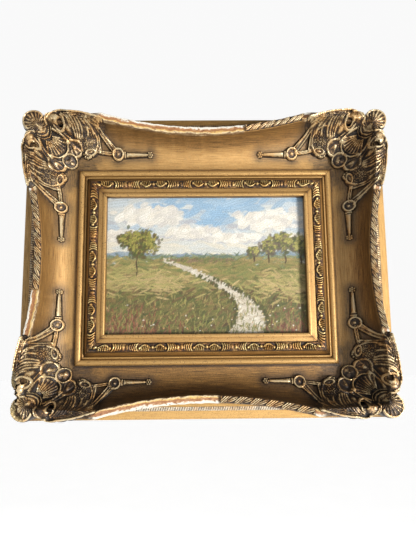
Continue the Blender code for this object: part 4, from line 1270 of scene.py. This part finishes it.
def paint_tree(canvas, u, foot, tall, wide, leaves, trunk, count):
    for k in range(14):
        canvas.stroke(u + 0.003 * math.sin(k), foot + tall * 0.045 * k, 0.018, 0.004, 1.5, trunk, 0.9, 0.5)
    for k in range(6):
        turn = 2 * math.pi * k / 6 + canvas.random.random()
        out = 0.62 * canvas.random.random() + 0.15
        x = u + wide * out * math.cos(turn)
        y = foot + tall * (0.64 + 0.34 * out * math.sin(turn))
        size = wide * (0.45 + 0.25 * canvas.random.random())
        soft = size * BOARD_WIDTH / BOARD_HEIGHT
        dim = loose(x, size * 0.42, y, soft * 0.36)
        canvas.fill(count // 4, dim, 0.014, 0.010, 0.8, leaves[:2], 0.16, 0.75)
        lit = loose(x + size * 0.15, size * 0.36, y + soft * 0.22, soft * 0.28)
        canvas.fill(count // 5, lit, 0.009, 0.006, 0.8, leaves[2:], 0.12, 0.75, 0.9)


def paint_trees(canvas):
    copse = palette((92, 98, 60), (108, 96, 82), (158, 156, 88), (176, 168, 100))
    oak = palette((82, 92, 44), (96, 82, 46), (150, 148, 70), (172, 160, 84))
    hedge = palette((112, 116, 68), (128, 120, 76), (134, 112, 88))
    for place in ((0.80, 0.52, 0.16, 0.055), (0.88, 0.515, 0.21, 0.065), (0.955, 0.51, 0.17, 0.055),
                  (0.73, 0.53, 0.09, 0.035)):
        paint_tree(canvas, *place, copse, linear(84, 66, 50), 130)
    paint_tree(canvas, 0.17, 0.44, 0.34, 0.085, oak, linear(74, 54, 38), 320)
    canvas.fill(130, loose(0.48, 0.10, 0.53, 0.007), 0.013, 0.006, 0.4, hedge, 0.12)


def paint_front(canvas):
    def thinning(r):
        return r.random(), 0.30 * r.random() ** 1.3

    russet = palette((132, 82, 58), (150, 98, 70), (112, 70, 52), (160, 122, 92))
    grass = palette((142, 142, 76), (118, 118, 62), (168, 152, 94), (94, 96, 52))
    flowers = palette((226, 206, 150), (206, 150, 110), (236, 230, 214))
    canvas.fill(330, rising(0.13, 0.11, 0.09), 0.030, 0.0045, 1.35, russet, 0.14, 0.85, 0.8)
    canvas.fill(200, rising(0.92, 0.06, 0.08), 0.028, 0.0045, 1.6, russet, 0.14, 0.85, 0.8)
    canvas.fill(900, thinning, 0.018, 0.0032, 1.45, grass, 0.14, 0.8, 0.8)
    canvas.fill(80, even(0, 1, 0, 0.24), 0.005, 0.004, 0.0, flowers, 0.08, 0.9, 1.0)


def board_piece(paint, bare):
    canvas = Canvas(PAINT_SEED)
    for step in (paint_ground_coat, paint_sky, paint_distance, paint_meadow, paint_path, paint_trees,
                 paint_front):
        step(canvas)
    x = (canvas.u - 0.5) * BOARD_WIDTH
    z = (canvas.v - 0.5) * BOARD_HEIGHT
    height = BOARD_FRONT + PAINT_THICKNESS * np.clip(canvas.thick, 0, 1.2)
    top = np.stack([x, -height, z - CENTRE_DROP], -1)
    bottom = np.stack([x, np.full_like(x, -BOARD_BACK), z - CENTRE_DROP], -1)
    points, faces, kinds, source = ribbon(top, bottom)
    uv = np.stack([x.ravel()[source], z.ravel()[source]], -1)
    colours = {"paint": PAINT_SHARE * canvas.colour.reshape(-1, 3)[source]}
    piece = make_piece("painting", points, faces, (paint, bare), kinds, uv, colours=colours)
    ready(piece, "painted_board")


# The room: a pale floor, soft lights and the camera

FLOOR_SIZE = 25.0
FLOOR_DROP = 0.85
FLOOR_GLOW = 0.42
CEILING = ((0.62, (1, 1, 1, 1)), (0.80, (0.22, 0.22, 0.23, 1)))


def pale_floor():
    made = Finish("pale_floor")
    grain = made.noise(made.place("Object"), 6.0, 3.0)
    colour = made.ramp(grain, ((0.3, (0.88, 0.88, 0.87)), (0.7, (0.92, 0.92, 0.91))))
    made.put(made.shader.inputs["Emission Color"], (1.0, 1.0, 1.0))
    made.put(made.shader.inputs["Emission Strength"], FLOOR_GLOW)
    corners = [(x * FLOOR_SIZE, y * FLOOR_SIZE, -FLOOR_DROP) for x, y in ((-1, -1), (1, -1), (1, 1), (-1, 1))]
    make_piece("floor", np.array(corners), [(0, 1, 2, 3)], (made.finish(colour, 0.8),))


def soft_light(name, place, aim, size, power, colour=(1.0, 1.0, 1.0)):
    light = bpy.data.lights.new(name, "AREA")
    light.shape = "DISK"
    light.size = size
    light.energy = power
    light.color = colour
    item = bpy.data.objects.new(name, light)
    bpy.context.scene.collection.objects.link(item)
    turn = (Vector(place) - Vector(aim)).to_track_quat("Z", "Y")
    item.matrix_world = Matrix.Translation(place) @ turn.to_matrix().to_4x4()


def lights():
    centre = (0, 0, -CENTRE_DROP)
    soft_light("key", (1.00, -1.00, -0.50), centre, 0.38, 62.0, (1.0, 0.97, 0.92))
    soft_light("back_fill", (0.3, 1.2, 0.6), centre, 1.0, 12.0)
    # A white room with a darker ceiling
    world = bpy.data.worlds.new("studio")
    world.use_nodes = True
    nodes, links = world.node_tree.nodes, world.node_tree.links
    sky = nodes["Background"]
    way = nodes.new("ShaderNodeTexCoord")
    split = nodes.new("ShaderNodeSeparateXYZ")
    ceiling = nodes.new("ShaderNodeValToRGB")
    links.new(way.outputs["Generated"], split.inputs["Vector"])
    links.new(split.outputs["Z"], ceiling.inputs["Fac"])
    links.new(ceiling.outputs["Color"], sky.inputs["Color"])
    for stop, (position, colour) in zip(ceiling.color_ramp.elements, CEILING):
        stop.position = position
        stop.color = colour
    sky.inputs["Strength"].default_value = 0.95
    bpy.context.scene.world = world
    bpy.context.scene.view_settings.view_transform = "Standard"


CAMERA_PLACE = (-0.00555, -0.47105, -0.18826)
CAMERA_PITCH, CAMERA_YAW, CAMERA_ROLL = -8.88, 0.88, 0.56
FOCAL_PIXELS = 550.0
IMAGE_HEIGHT = 555
SENSOR_HEIGHT = 36


def camera():
    pitch, yaw, roll = (math.radians(value) for value in (CAMERA_PITCH, CAMERA_YAW, CAMERA_ROLL))
    view = bpy.data.cameras.new("camera")
    view.sensor_fit = "VERTICAL"
    view.sensor_height = SENSOR_HEIGHT
    view.lens = FOCAL_PIXELS / IMAGE_HEIGHT * SENSOR_HEIGHT
    view.clip_start = 0.01
    item = bpy.data.objects.new("camera", view)
    bpy.context.scene.collection.objects.link(item)
    placed = Matrix.Translation(CAMERA_PLACE)
    for angle, axis in ((math.pi / 2, "X"), (-yaw, "Y"), (-pitch, "X"), (-roll, "Z")):
        placed = placed @ Matrix.Rotation(angle, 4, axis)
    item.matrix_world = placed
    bpy.context.scene.camera = item


def build_object():
    gilt = rail_finish()
    slip_gilt = slip_finish()
    casting = relief_finish("antique_casting_finish", (
        (0.14, UMBER), (0.38, seen(70, 54, 38)), (0.53, OLIVE), (0.63, seen(190, 156, 104)),
        (0.78, CREAM_GOLD),
    ), 0.4)
    leaf = relief_finish("leaf_strip_finish", (
        (0.16, UMBER), (0.36, seen(84, 60, 38)), (0.50, seen(142, 110, 76)), (0.66, seen(204, 168, 118)),
        (0.86, seen(252, 230, 184)),
    ), 0.3)
    beads = relief_finish("beading_finish", (
        (0.20, seen(84, 74, 66)), (0.45, seen(150, 136, 118)), (0.75, seen(236, 222, 196)),
    ), 0.2)
    band = relief_finish("carved_band_finish", (
        (0.16, UMBER), (0.34, seen(92, 64, 36)), (0.50, seen(150, 110, 62)), (0.66, seen(206, 164, 96)),
        (0.86, seen(250, 226, 160)),
    ), 0.5)
    wood = wood_finish("back_wood_finish", seen(196, 160, 116), seen(140, 106, 70), 900)
    board_back = wood_finish("board_back_finish", seen(168, 136, 98), seen(120, 92, 64), 500)
    halves = {}
    for side, quarter, length, reach, span in SIDES:
        rail_piece(side, quarter, length, reach, span, gilt, wood)
        beading_piece(side, quarter, length, reach, beads if side == "bottom" else casting)
        strip_piece(side, quarter, length, reach, span, leaf)
        sight = (SIGHT_WIDTH, SIGHT_HEIGHT / 2) if quarter % 2 == 0 else (SIGHT_HEIGHT, SIGHT_WIDTH / 2)
        slip_piece(side, quarter, *sight, slip_gilt, wood)
        band_piece(side, quarter, *sight, band)
        halves[side] = length / 2
    for name, quarter, right, up, covered in CORNERS:
        casting_piece(name, quarter, right, up, covered, halves[covered[0]], halves[covered[1]], casting)
    board_piece(paint_finish(), board_back)


build_object()
pale_floor()
lights()
camera()
